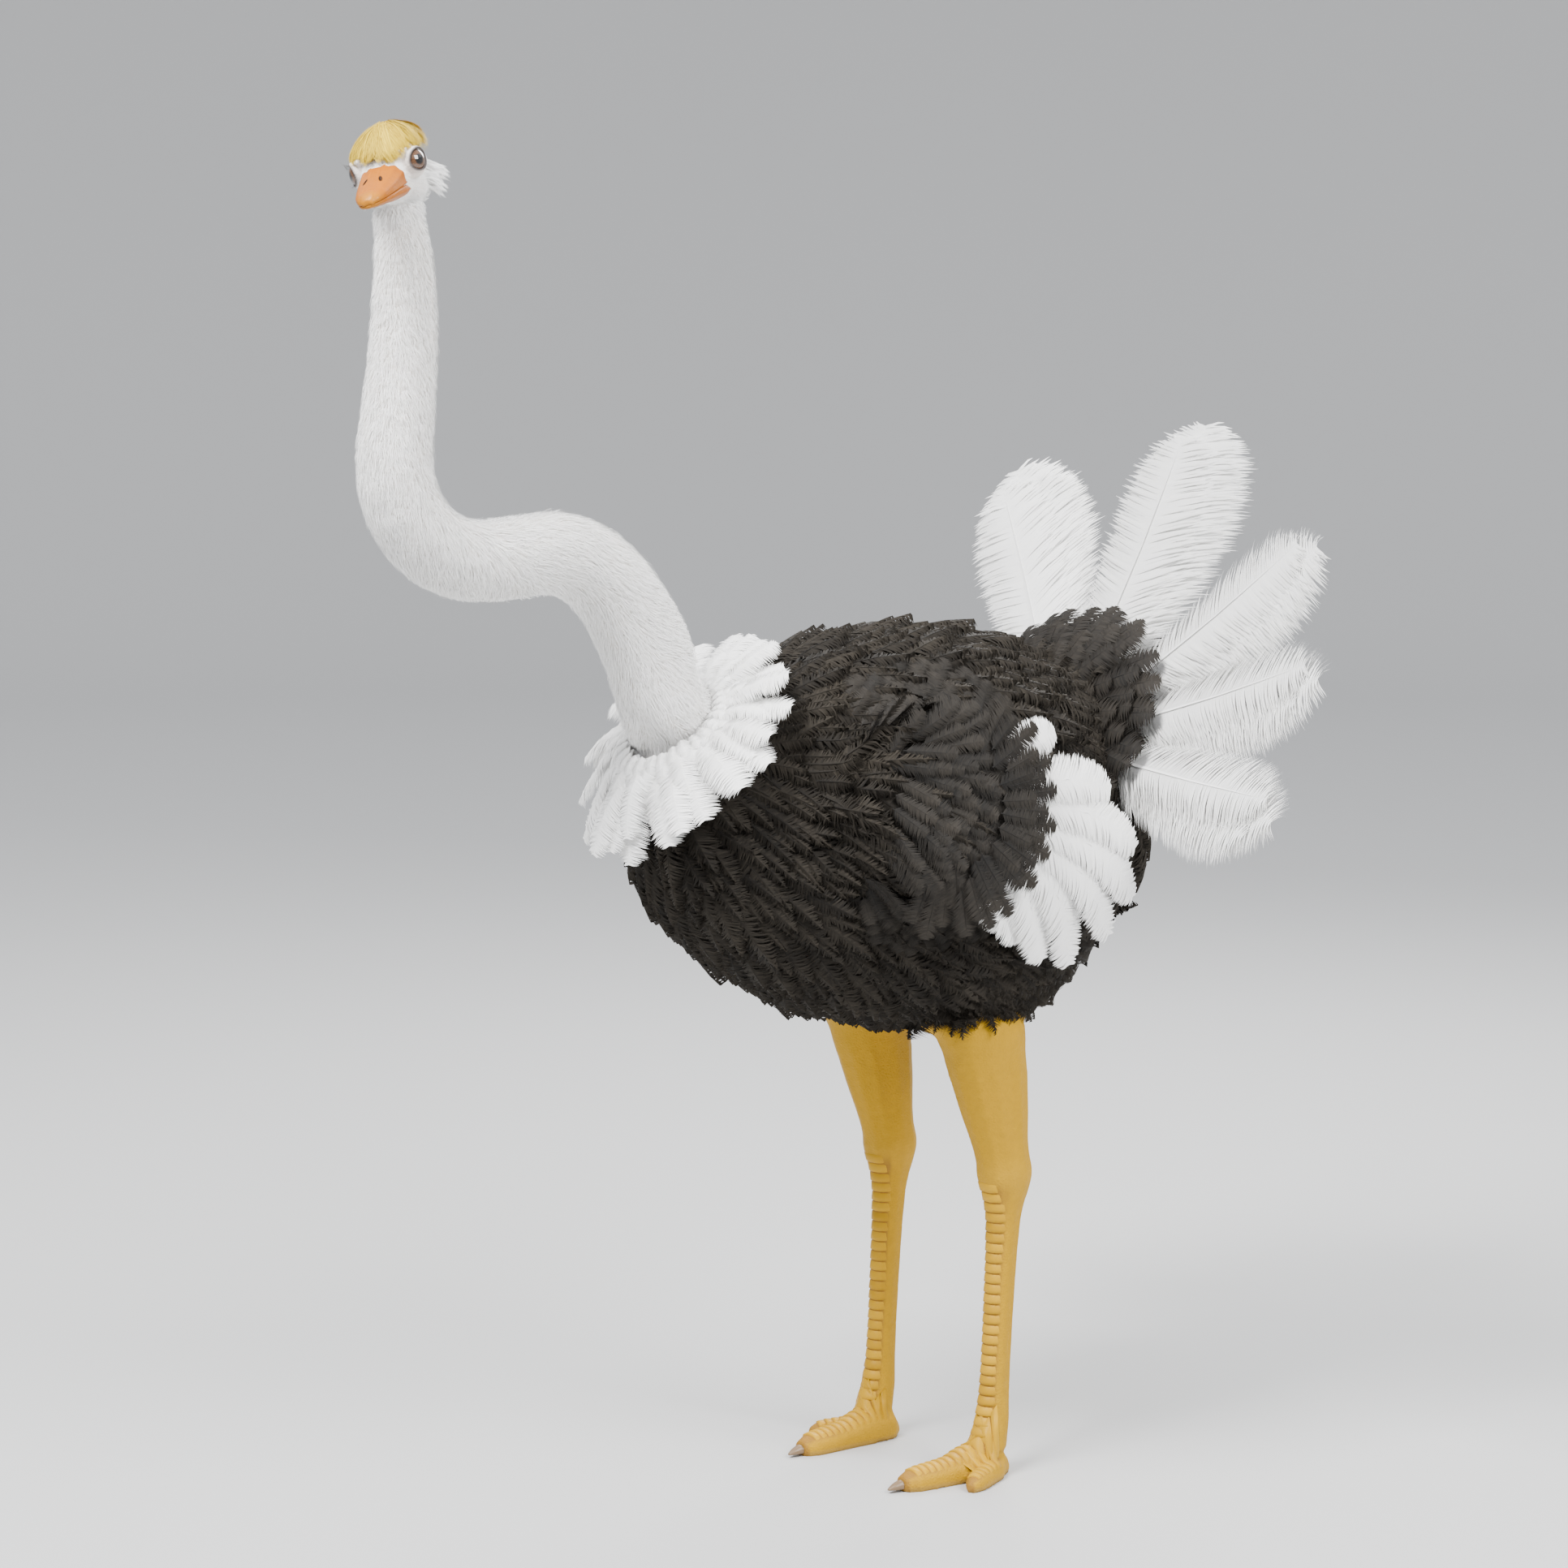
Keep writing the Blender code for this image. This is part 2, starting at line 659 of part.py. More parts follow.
def bill_half(name, outer, sign, narrower):
    """The half of the bill above (sign 1) or below (-1) the gape; outer picks its section column."""
    shape = smooth_through([(s[0], s[1] - narrower, abs(s[outer] - s[3]), s[3]) for s in BILL_SECTIONS])
    steps = [s[0] for s in BILL_SECTIONS[:-2]] + evenly(BILL_SECTIONS[-2][0], BILL_SECTIONS[-1][0], 3)
    rings = []
    for y in steps:
        half_width, height, gape = shape(y)
        centre, across, upward = Vector((0, y, 0)), Vector((1, 0, 0)), Vector((0, 0, 1))
        ring = oval(centre, across, upward, half_width, height, -0.5 * height, 12, 2.3)
        lifted = [Vector((p.x, p.y, gape + sign * (max(p.z, 0) + GAP / 2))) for p in ring]
        rings.append([HEAD_MATRIX @ point for point in lifted])
    return loft(name, rings, "bill_horn")


def head(neck_top):
    steps = eased(SKULL_SECTIONS[0][0], SKULL_SECTIONS[-1][0], 11)
    rings = section_rings(SKULL_SECTIONS, steps, 16, 2.2)
    skull = loft("head", [[HEAD_MATRIX @ point for point in ring] for ring in rings], "pale_down")
    both = ((1, "left"), (-1, "right"))
    eyes, ears = [], []
    for sign, word in both:
        centre = Vector((sign * EYE_CENTRE.x, EYE_CENTRE.y, EYE_CENTRE.z))
        eyes.append(ball("eye_" + word, centre, [EYE_RADIUS] * 3, 12, 8, "eye", HEAD_MATRIX))
    carve(skull, *eyes)
    cap = carve(crown(), skull, *eyes)
    for sign, word in both:
        centre = Vector((sign * EAR_CENTRE.x, EAR_CENTRE.y, EAR_CENTRE.z))
        ear = ball("ear_" + word, centre, EAR_SIZE, 10, 6, "pale_down", HEAD_MATRIX)
        ears.append(carve(ear, skull, cap))
    carve(bill_half("bill_upper", 2, 1, 0), skull, *eyes)
    carve(bill_half("bill_lower", 4, -1, 0.002), skull)
    carve(neck_top, skull, cap, *ears)


def tail(body):
    coverts = carve(tail_coverts(), body)
    plumes = []
    for i, measures in enumerate(TAIL_PLUMES):
        plume = carve(tail_plume(f"tail_plume_{i + 1}", *measures), body, coverts, *plumes[-1:])
        plumes.append(plume)


def wings(body):
    coverts = carve(wing_coverts(), body)
    plumes = carve(flight_plumes(), body, coverts)
    for piece in (coverts, plumes):
        mirrored(piece, piece.name.replace("_left", "_right"))


def centre_on_floor():
    """Moves the bird so that the middle of its floor outline is the origin."""
    places = [vert.co for piece in PARTS.objects for vert in piece.data.vertices]
    middle = [(min(p[k] for p in places) + max(p[k] for p in places)) / 2 for k in range(2)]
    shift = Matrix.Translation((-middle[0], -middle[1], 0))
    for piece in PARTS.objects:
        piece.data.transform(shift)


def ostrich():
    body = trunk()
    necks = [neck_part(*part) for part in NECK_PARTS]
    carve(necks[0], body)
    carve(collar(), body, necks[0])
    head(necks[-1])
    wings(body)
    tail(body)
    leg(body)
    centre_on_floor()


for old in list(bpy.data.objects):
    bpy.data.objects.remove(old)
PARTS = bpy.data.collections.new("ostrich")
CUTTERS = bpy.data.collections.new("cutters")
bpy.context.scene.collection.children.link(PARTS)
bpy.context.scene.collection.children.link(CUTTERS)
ostrich()
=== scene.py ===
"""The looks of the life-size ostrich: one smooth skin, a modelled head, and feathers laid over it as mesh."""

import heapq
import math

import bmesh
import bpy
import numpy as np
from mathutils import Matrix, Vector
from mathutils.bvhtree import BVHTree


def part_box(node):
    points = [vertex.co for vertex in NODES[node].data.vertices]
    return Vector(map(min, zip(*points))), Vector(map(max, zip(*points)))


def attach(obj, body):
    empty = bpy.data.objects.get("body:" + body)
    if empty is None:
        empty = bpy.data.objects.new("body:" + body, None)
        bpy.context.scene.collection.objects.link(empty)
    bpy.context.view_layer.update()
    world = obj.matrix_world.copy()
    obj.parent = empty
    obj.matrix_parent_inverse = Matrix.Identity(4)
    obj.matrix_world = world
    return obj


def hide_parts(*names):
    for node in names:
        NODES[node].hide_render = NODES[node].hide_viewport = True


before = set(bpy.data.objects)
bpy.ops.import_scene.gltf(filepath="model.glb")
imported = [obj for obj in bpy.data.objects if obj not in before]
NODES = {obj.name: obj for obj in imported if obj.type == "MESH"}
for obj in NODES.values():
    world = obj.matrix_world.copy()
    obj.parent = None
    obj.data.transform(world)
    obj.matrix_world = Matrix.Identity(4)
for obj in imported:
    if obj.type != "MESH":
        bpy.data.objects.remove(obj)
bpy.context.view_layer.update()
RANDOM = np.random.default_rng(11)  # every random draw of the coat, always in the same order

# Head pose, as in the solids
HEAD_YAW, HEAD_PITCH, HEAD_ROLL = math.radians(42), math.radians(10), math.radians(-14)
EYES_IN_HEAD = Vector((0, -0.016, 0.007))  # the point midway between the eyes, in the head's own axes
EYE_RADIUS = 0.0255

# Depth of the coat over the skin
BODY_COAT = 0.034
WING_COAT = 0.030
NECK_COAT = 0.007
HEAD_COAT = 0.003

# Voxels of the skin's three regions, of the surfaces under head and wings, and of the horn
BODY_VOXEL, LEG_VOXEL, HEAD_VOXEL = 0.0095, 0.0042, 0.0019
FLESH_VOXEL, DRAPE_VOXEL = 0.0028, 0.012
BILL_VOXEL, CLAW_VOXEL = 0.0012, 0.0013

# Levels where the skin's regions are joined, and the gap that the joining strip fills
NECK_JOINT = 2.030
LEG_JOINT = 0.700
JOINT_GAP = 0.010
ANKLE = 0.502

# The body's middle plane, and each leg's middle: outward from that plane, and along the body
MIDDLE_X = -0.0148
LEG_AXIS = (0.148, 0.27)

# Centre line of the collar's foot, as in the solids
RUFF_CENTRE = np.array([MIDDLE_X, -0.2186, 1.2508])
RUFF_AXIS = np.array([0, -0.5790, 0.8154])

# The left wing and the tail, as in the solids; a lean is how far the fan turns inward at its back and top
WING_CENTRE = np.array([0.272 + MIDDLE_X, 0.0667, 1.150])
WING_RADIUS = 0.200
WING_LEAN = (0.10, 0.12)
FLIGHT_ROOT = np.array([0.280 + MIDDLE_X, 0.1217, 1.125])
FLIGHT_LEAN = (0.03, 0.07)
FLIGHT_PLUMES = (
    # degrees above straight back, reach
    (38, 0.222),
    (8, 0.300),
    (-8, 0.360),
    (-20, 0.385),
    (-31, 0.380),
    (-44, 0.350),
    (-60, 0.305),
    (-80, 0.240),
)
TAIL_ROOT = np.array([MIDDLE_X, 0.5617, 1.185])
TAIL_TILT = math.radians(55)
TAIL_PLUMES = (
    # degrees from the tail's axis, reach, half width
    (-100, 0.600, 0.080),
    (-80, 0.560, 0.088),
    (-38, 0.645, 0.112),
    (2, 0.620, 0.135),
    (47, 0.580, 0.105),
    (75, 0.590, 0.092),
    (100, 0.630, 0.080),
)
TAIL_THICKNESS = 0.085

LEFT = np.array([1.0, 0, 0])
BACK = np.array([0, 1.0, 0])
UP = np.array([0, 0, 1.0])
DOWN = np.array([0, 0, -1.0])
SIDES = ((1, "left"), (-1, "right"))


# ---------------------------------------------------------------- arrays and meshes


def unit(v):
    """Vectors at length 1."""
    return v / np.maximum(np.linalg.norm(v, axis=-1, keepdims=True), 1e-12)


def ramp(x, low, high):
    """0 below low, 1 above high, smooth between; low may be the greater."""
    t = np.clip((np.asarray(x, float) - low) / (high - low), 0, 1)
    return t * t * (3 - 2 * t)


def hump(x, middle, width):
    """1 where x is at middle, falling away smoothly on both sides."""
    return np.exp(-(((x - middle) / width) ** 2))


def linked(name, mesh):
    """An object in the scene that shows mesh."""
    obj = bpy.data.objects.new(name, mesh)
    bpy.context.scene.collection.objects.link(obj)
    return obj


def object_of(name, mesh, material):
    """An object in the scene that shows mesh in one material."""
    mesh.materials.clear()
    mesh.materials.append(material)
    return linked(name, mesh)


def mesh_from(points, faces, name="shape"):
    """A plain mesh of points and faces."""
    mesh = bpy.data.meshes.new(name)
    mesh.from_pydata(points.tolist(), [], faces.tolist())
    return mesh


def array_mesh(name, points, faces, material, uv=None, tone=None, colour=None):
    """A mesh object from arrays; uv is per point, tone a float and colour an RGB per point."""
    mesh = bpy.data.meshes.new(name)
    corners = faces.shape[1]
    mesh.vertices.add(len(points))
    mesh.vertices.foreach_set("co", np.ascontiguousarray(points, np.float32).ravel())
    mesh.loops.add(faces.size)
    mesh.loops.foreach_set("vertex_index", np.ascontiguousarray(faces, np.int32).ravel())
    mesh.polygons.add(len(faces))
    mesh.polygons.foreach_set("loop_start", np.arange(0, faces.size, corners, dtype=np.int32))
    mesh.update(calc_edges=True)
    if uv is not None:
        layer = mesh.uv_layers.new(name="OFBake")
        layer.uv.foreach_set("vector", uv[faces.ravel()].astype(np.float32).ravel())
    if tone is not None:
        mesh.attributes.new("tone", "FLOAT", "POINT").data.foreach_set("value", tone.astype(np.float32))
    if colour is not None:
        paint(mesh, colour)
    mesh.shade_smooth()
    return object_of(name, mesh, material)


def paint(mesh, colour):
    """Gives the points of mesh their own colours."""
    rgba = np.ones((len(colour), 4), np.float32)
    rgba[:, :3] = colour
    mesh.attributes.new("paint", "FLOAT_COLOR", "POINT").data.foreach_set("color", rgba.ravel())


def arrays_of(mesh):
    """(points, triangles) of a mesh."""
    points = np.empty(len(mesh.vertices) * 3, np.float32)
    mesh.vertices.foreach_get("co", points)
    mesh.calc_loop_triangles()
    faces = np.empty(len(mesh.loop_triangles) * 3, np.int32)
    mesh.loop_triangles.foreach_get("vertices", faces)
    return points.reshape(-1, 3).astype(float), faces.reshape(-1, 3)


def joined(parts):
    """(points, faces) parts as one pair."""
    starts = np.cumsum([0] + [len(points) for points, _ in parts])
    faces = [own + start for (_, own), start in zip(parts, starts)]
    return np.concatenate([points for points, _ in parts]), np.concatenate(faces)


def tree_of(*parts):
    """A search tree over (points, faces) parts."""
    points, faces = joined(parts)
    return BVHTree.FromPolygons(points.tolist(), faces.tolist())


def cad(name):
    """(points, triangles) of a node of the frame."""
    return arrays_of(NODES[name].data)


def inside(tree, points, margin=0.0):
    """Which points lie more than margin inside the closed surface of tree."""
    result = np.zeros(len(points), bool)
    for i, p in enumerate(points.tolist()):
        near, normal, _, distance = tree.find_nearest(p)
        result[i] = (Vector(p) - near).dot(normal) < 0 and distance > margin
    return result


def in_trunk(points, where, margin):
    """Which of the points that where picks lie more than margin inside the trunk."""
    result = np.zeros(len(points), bool)
    ids = np.nonzero(where)[0]
    result[ids] = inside(tree_of(cad("trunk")), points[ids], margin)
    return result


def edges_of(faces):
    """Each edge of triangles once, as its two points."""
    pairs = np.concatenate([faces[:, [0, 1]], faces[:, [1, 2]], faces[:, [2, 0]]])
    return np.unique(np.sort(pairs, axis=1), axis=0)


def averaged(values, edges, rounds, factor=0.5):
    """values at the points, evened out along the edges."""
    count = len(values)
    degree = np.maximum(np.bincount(edges.ravel(), minlength=count), 1)
    values = values.astype(float).copy()
    flat = values.ndim == 1
    work = values[:, None] if flat else values
    for _ in range(rounds):
        for k in range(work.shape[1]):
            total = np.bincount(edges[:, 0], work[edges[:, 1], k], count)
            total += np.bincount(edges[:, 1], work[edges[:, 0], k], count)
            work[:, k] += factor * (total / degree - work[:, k])
    return work[:, 0] if flat else work


def smoothed(points, edges, rounds):
    """Evens out a surface without shrinking it."""
    for _ in range(rounds):
        points = averaged(points, edges, 1, 0.5)
        points = averaged(points, edges, 1, -0.52)
    return points


def normals_of(points, faces):
    """Outward directions at the points, weighted by the area of the triangles round them."""
    corner = points[faces]
    flat = np.cross(corner[:, 1] - corner[:, 0], corner[:, 2] - corner[:, 0])
    total = np.zeros_like(points)
    for k in range(3):
        for axis in range(3):
            total[:, axis] += np.bincount(faces[:, k], flat[:, axis], len(points))
    return unit(total)


# ---------------------------------------------------------------- head axes and simple shapes


def head_matrix():
    """The head's own axes, bill towards -Y and its left at +X, and the centres of its eyes by side."""
    centres = [np.unique(cad(name)[0].round(5), axis=0).mean(0) for name in ("eye_left", "eye_right")]
    turn = Matrix.Rotation(HEAD_YAW, 4, "Z") @ Matrix.Rotation(HEAD_PITCH, 4, "X")
    turn = turn @ Matrix.Rotation(HEAD_ROLL, 4, "Y")
    middle = Vector((centres[0] + centres[1]) / 2)
    matrix = Matrix.Translation(middle) @ turn @ Matrix.Translation(-EYES_IN_HEAD)
    return matrix, {1: Vector(centres[0]), -1: Vector(centres[1])}


HEAD, EYE_CENTRES = head_matrix()
TO_HEAD = np.array(HEAD.inverted())
FROM_HEAD = np.array(HEAD)


def apply(matrix, points):
    """Points moved by a 4 by 4 matrix."""
    return points @ matrix[:3, :3].T + matrix[:3, 3]


def left_half(points):
    """Places of points in the head's axes, those on its right side mirrored to its left."""
    local = apply(TO_HEAD, points)
    local[:, 0] = np.abs(local[:, 0])
    return local


def eye_in_head(side):
    """Centre of an eye in the head's axes; side is 1 for left and -1 for right."""
    return TO_HEAD[:3, :3] @ np.array(EYE_CENTRES[side]) + TO_HEAD[:3, 3]


def ball(centre, size, matrix=HEAD, segments=32):
    """(points, faces) of an ellipsoid in the head's axes."""
    bm = bmesh.new()
    bmesh.ops.create_uvsphere(bm, u_segments=segments, v_segments=segments // 2, radius=1)
    bm.transform(matrix @ Matrix.Translation(centre) @ Matrix.Diagonal((*size, 1)))
    mesh = bpy.data.meshes.new("ball")
    bm.to_mesh(mesh)
    bm.free()
    return arrays_of(mesh)


def both_sides(x, y, z):
    """A place on the head's left and the same on its right."""
    return (Vector((x, y, z)), Vector((-x, y, z)))


def clipped(part, height):
    """The closed part above a level, capped there."""
    mesh = mesh_from(*part)
    bm = bmesh.new()
    bm.from_mesh(mesh)
    bmesh.ops.remove_doubles(bm, verts=bm.verts[:], dist=1e-5)
    everything = bm.verts[:] + bm.edges[:] + bm.faces[:]
    bmesh.ops.bisect_plane(bm, geom=everything, plane_co=(0, 0, height), plane_no=(0, 0, 1), clear_inner=True)
    bmesh.ops.holes_fill(bm, edges=[edge for edge in bm.edges if edge.is_boundary])
    bm.to_mesh(mesh)
    bm.free()
    return arrays_of(mesh)


def shrunk(part, share):
    """A part scaled about its middle."""
    middle = (part[0].min(0) + part[0].max(0)) / 2
    return middle + (part[0] - middle) * share, part[1]


def with_modifiers(obj):
    """The mesh that obj's modifiers make of it."""
    bpy.context.view_layer.update()
    return bpy.data.meshes.new_from_object(obj.evaluated_get(bpy.context.evaluated_depsgraph_get()))


def wrapped(parts, voxel):
    """One closed surface round overlapping or touching closed parts, as (points, triangles)."""
    obj = linked("wrap", mesh_from(*joined(parts)))
    remesh = obj.modifiers.new("remesh", "REMESH")
    remesh.mode = "VOXEL"
    remesh.voxel_size = voxel
    result = with_modifiers(obj)
    bpy.data.objects.remove(obj)
    return arrays_of(result)


def cut_away(mesh, cutters):
    """mesh less the closed cutters, each (points, faces)."""
    made = [linked("body", mesh)]
    for cutter in cutters:
        made.append(linked("cutter", mesh_from(*cutter)))
        boolean = made[0].modifiers.new("cut", "BOOLEAN")
        boolean.operation, boolean.solver, boolean.object = "DIFFERENCE", "EXACT", made[-1]
    result = with_modifiers(made[0])
    for obj in made:
        bpy.data.objects.remove(obj)
    return result


# ---------------------------------------------------------------- head


def lid_axes(side):
    """Outward, forward and upward axes of one eye's opening, in the head's axes; side is 1 for left."""
    outward = Vector((side * 0.93, -0.36, 0.05)).normalized()
    forward = Vector((0, -1, -0.10))
    forward = (forward - outward * forward.dot(outward)).normalized()
    upward = forward.cross(outward) * side
    return outward, forward, upward if upward.z > 0 else -upward


LID_HALF_WIDTH, LID_HALF_HEIGHT = 0.0190, 0.0150
LID_ROUNDNESS = (2.2, 1.9)  # powers of the opening's oval, across and up
LID_THICKNESS = 0.0018


def lid_reach(points, side):
    """How far points are from the middle of an eye's opening, as a share of its rim, and how high in it."""
    outward, forward, upward = (np.array(axis) for axis in lid_axes(side))
    away = apply(TO_HEAD, points) - eye_in_head(side)
    across, up = away @ forward / LID_HALF_WIDTH, away @ upward / LID_HALF_HEIGHT
    reach = (np.abs(across) ** LID_ROUNDNESS[0] + np.abs(up) ** LID_ROUNDNESS[1]) ** 0.48
    facing = away @ outward > 0.2 * EYE_RADIUS
    return np.where(facing, reach, 99.0), up


def lid_cutter(side):
    """An almond-shaped prism that opens the lids over one eye."""
    outward, forward, upward = (HEAD.to_3x3() @ axis for axis in lid_axes(side))
    count, points = 44, []
    for depth in (0.62, 1.7):
        middle = EYE_CENTRES[side] + outward * (depth * EYE_RADIUS)
        for i in range(count):
            c, s = math.cos(math.tau * i / count), math.sin(math.tau * i / count)
            c = math.copysign(abs(c) ** (2 / LID_ROUNDNESS[0]), c)
            s = math.copysign(abs(s) ** (2 / LID_ROUNDNESS[1]), s)
            points.append(tuple(middle + forward * (c * LID_HALF_WIDTH) + upward * (s * LID_HALF_HEIGHT)))
    ring = list(range(count))
    faces = [[i, (i + 1) % count, (i + 1) % count + count, i + count] for i in ring]
    faces += [ring[::-1], [i + count for i in ring]]
    mesh = bpy.data.meshes.new("lid")
    mesh.from_pydata(points, [], faces)
    bm = bmesh.new()
    bm.from_mesh(mesh)
    bmesh.ops.recalc_face_normals(bm, faces=bm.faces[:])
    bm.to_mesh(mesh)
    bm.free()
    return arrays_of(mesh)


# Rings round an eye's opening: (share of its rim, width, height, whether the upper lid is stronger)
LID_RINGS = (
    (1.08, 0.10, 0.0007, True),
    (1.36, 0.08, -0.0011, True),
    (1.55, 0.09, 0.0006, False),
    (1.74, 0.07, -0.0007, False),
)
# Brows, jaws and the cheeks behind the bill, on the left side, in the head's axes: (centre, half sizes)
SWELLINGS = (
    ((0.030, -0.020, 0.0265), (0.015, 0.026, 0.0075)),
    ((0.027, 0.006, -0.030), (0.017, 0.030, 0.019)),
    ((0.023, -0.048, -0.006), (0.012, 0.016, 0.012)),
)
EAR_HOLE = (0.047, 0.046, -0.018)
# Furrows in the face, on the left side, in the head's axes: (from, to, half width, depth)
FURROWS = (
    ((0.008, -0.052, 0.026), (0.013, -0.040, 0.036), 0.0022, 0.0012),
    ((0.004, -0.046, 0.030), (0.005, -0.034, 0.040), 0.0020, 0.0010),
    ((0.030, -0.046, -0.016), (0.038, -0.022, -0.030), 0.0030, 0.0016),
    ((0.034, -0.030, -0.022), (0.040, -0.006, -0.032), 0.0025, 0.0012),
    ((0.026, -0.040, -0.036), (0.034, -0.010, -0.046), 0.0030, 0.0013),
    ((0.046, 0.014, -0.006), (0.047, 0.034, -0.024), 0.0030, 0.0010),
)


def furrow_depth(points):
    """How far the furrows press the surface in at each point."""
    local = left_half(points)
    total = np.zeros(len(points))
    for start, end, half_width, depth in FURROWS:
        start, run = np.array(start), np.array(end) - np.array(start)
        share = np.clip((local - start) @ run / (run @ run), 0, 1)
        distance = np.linalg.norm(local - start - share[:, None] * run, axis=1)
        total += depth * hump(distance, 0, half_width) * np.sin(math.pi * (0.12 + 0.76 * share))
    return total


def head_flesh():
    """Closed parts of the head: the solids inset by the coat, a shell round each eye, and the swellings."""
    neck = clipped(cad("neck_upper"), NECK_JOINT - 0.030)
    points, faces = wrapped([cad("head"), neck, cad("ear_left"), cad("ear_right")], FLESH_VOXEL)
    points = smoothed(points, edges_of(faces), 26)
    local = apply(TO_HEAD, points)
    coat = HEAD_COAT * ramp(local[:, 1], -0.052, -0.020)
    coat += (NECK_COAT - HEAD_COAT) * ramp(local[:, 2], -0.062, -0.085)
    points -= normals_of(points, faces) * coat[:, None]
    flesh = [(points, faces)]
    for side in (1, -1):
        flesh.append(ball(Vector(eye_in_head(side)), [EYE_RADIUS + LID_THICKNESS] * 3))
    for place_at, size in SWELLINGS:
        flesh += [ball(centre, size) for centre in both_sides(*place_at)]
    return flesh


def head_skin():
    """The head and the top of the neck, with brows, lids and furrows, open at NECK_JOINT."""
    points, faces = wrapped(head_flesh(), HEAD_VOXEL)
    points = smoothed(points, edges_of(faces), 9)
    normal = normals_of(points, faces)
    push = -furrow_depth(points)
    for side in (1, -1):
        reach, height = lid_reach(points, side)
        upper = 1 + 0.5 * ramp(height, -0.2, 0.6)
        for share, width, rise, on_upper in LID_RINGS:
            push += rise * (upper if on_upper else 1) * hump(reach, share, width)
    local = left_half(points)
    push -= 0.005 * hump(np.linalg.norm(local - EAR_HOLE, axis=1), 0, 0.0045)
    push -= 0.0032 * ramp(local[:, 1], -0.048, -0.060)
    return cut_away(mesh_from(points + normal * push[:, None], faces), [lid_cutter(1), lid_cutter(-1)])


# ---------------------------------------------------------------- skin


def body_skin():
    """Trunk, neck, wing and tail stumps and the tops of the legs, inset by the coat."""
    names = ("trunk", "neck_lower", "neck_middle", "neck_upper", "thigh_left", "thigh_right", "tail_coverts")
    stumps = [shrunk(cad("wing_" + side), 0.80) for side in ("left", "right")]
    points, faces = wrapped([cad(name) for name in names] + stumps, BODY_VOXEL)
    edges = edges_of(faces)
    points = smoothed(points, edges, 14)
    normal = normals_of(points, faces)
    depth = averaged(body_coat_depth(points, normal, stumps), edges, 10)
    depth *= 1 - ramp(points[:, 2], 0.785, 0.750) * ramp(from_leg(points), 0.125, 0.095)
    points -= normal * depth[:, None]
    on_flank = ramp(np.abs(points[:, 0] - MIDDLE_X), 0.13, 0.18) * ramp(points[:, 2], 0.88, 0.94)
    points = averaged(points, edges, 45, 0.5 * on_flank)
    return averaged(points, edges, 3), faces


def body_coat_depth(points, normal, stumps):
    """How deep the coat is over each point of the body."""
    depth = np.full(len(points), NECK_COAT)
    depth[inside(tree_of(cad("trunk")), points - normal * 0.014)] = BODY_COAT
    depth[inside(tree_of(*stumps), points - normal * 0.008)] = WING_COAT
    depth[(points[:, 2] < 0.80) & (depth == NECK_COAT)] = 0
    depth[(points[:, 1] > 0.60) & (points[:, 2] > 1.1)] = BODY_COAT
    return depth


def from_leg(points):
    """Level distance from the middle of the nearer leg."""
    return np.hypot(np.abs(points[:, 0] - MIDDLE_X) - LEG_AXIS[0], points[:, 1] - LEG_AXIS[1])


def leg_push(height, across, rearward):
    """How far an ankle's knobs, the shin's and the calf's hollows press the skin of a leg out or in."""
    ankle = hump(height, ANKLE, 0.026)
    push = 0.0050 * ankle * across + 0.003 * ankle * np.abs(rearward)
    push -= 0.0020 * hump(height, ANKLE - 0.060, 0.030) * across
    shin = ramp(height, 0.10, 0.16) * ramp(height, ANKLE, ANKLE - 0.07)
    push -= 0.0030 * shin * hump(rearward, 0.35, 0.25) * (across > 0.5)
    calf = ramp(height, ANKLE + 0.02, ANKLE + 0.10) * ramp(height, 0.80, 0.70)
    return push - 0.0035 * calf * hump(rearward, -0.10, 0.22) * (across > 0.6)


def leg_skin(side):
    """Thigh, shank and toes of one leg, with an ankle's knobs, a tendon behind and flat soles."""
    parts = [cad(f"{part}_{side}") for part in ("thigh", "shank", "toe_main", "toe_side")]
    points, faces = wrapped(parts, LEG_VOXEL)
    edges = edges_of(faces)
    points = smoothed(points, edges, 22)
    normal = normals_of(points, faces)
    push = leg_push(points[:, 2], np.abs(normal[:, 0]), normal[:, 1])
    points += normal * averaged(push, edges, 4)[:, None]
    points[:, 2] = np.maximum(points[:, 2], 0)
    sole = (points[:, 2] < 0.004) & (normals_of(points, faces)[:, 2] < -0.6)
    points[sole, 2] = 0
    return points, faces


def trimmed(part, low=-9.0, high=9.0):
    """The faces of a surface that lie between two levels."""
    points, faces = part
    height = points[faces][:, :, 2]
    keep = faces[(height.min(1) > low) & (height.max(1) < high)]
    used = np.unique(keep)
    renumber = np.zeros(len(points), int)
    renumber[used] = np.arange(len(used))
    return points[used], renumber[keep]


def bridge(bm, level, reach, sign):
    """Joins the two open rims within reach of a level, on the side of sign, or on both where it is 0."""

    def near(vert):
        on_side = sign == 0 or (vert.co.x - MIDDLE_X) * sign > 0
        return level - reach < vert.co.z < level + reach and on_side

    rims = [edge for edge in bm.edges if edge.is_boundary and all(near(vert) for vert in edge.verts)]
    bmesh.ops.bridge_loops(bm, edges=rims)


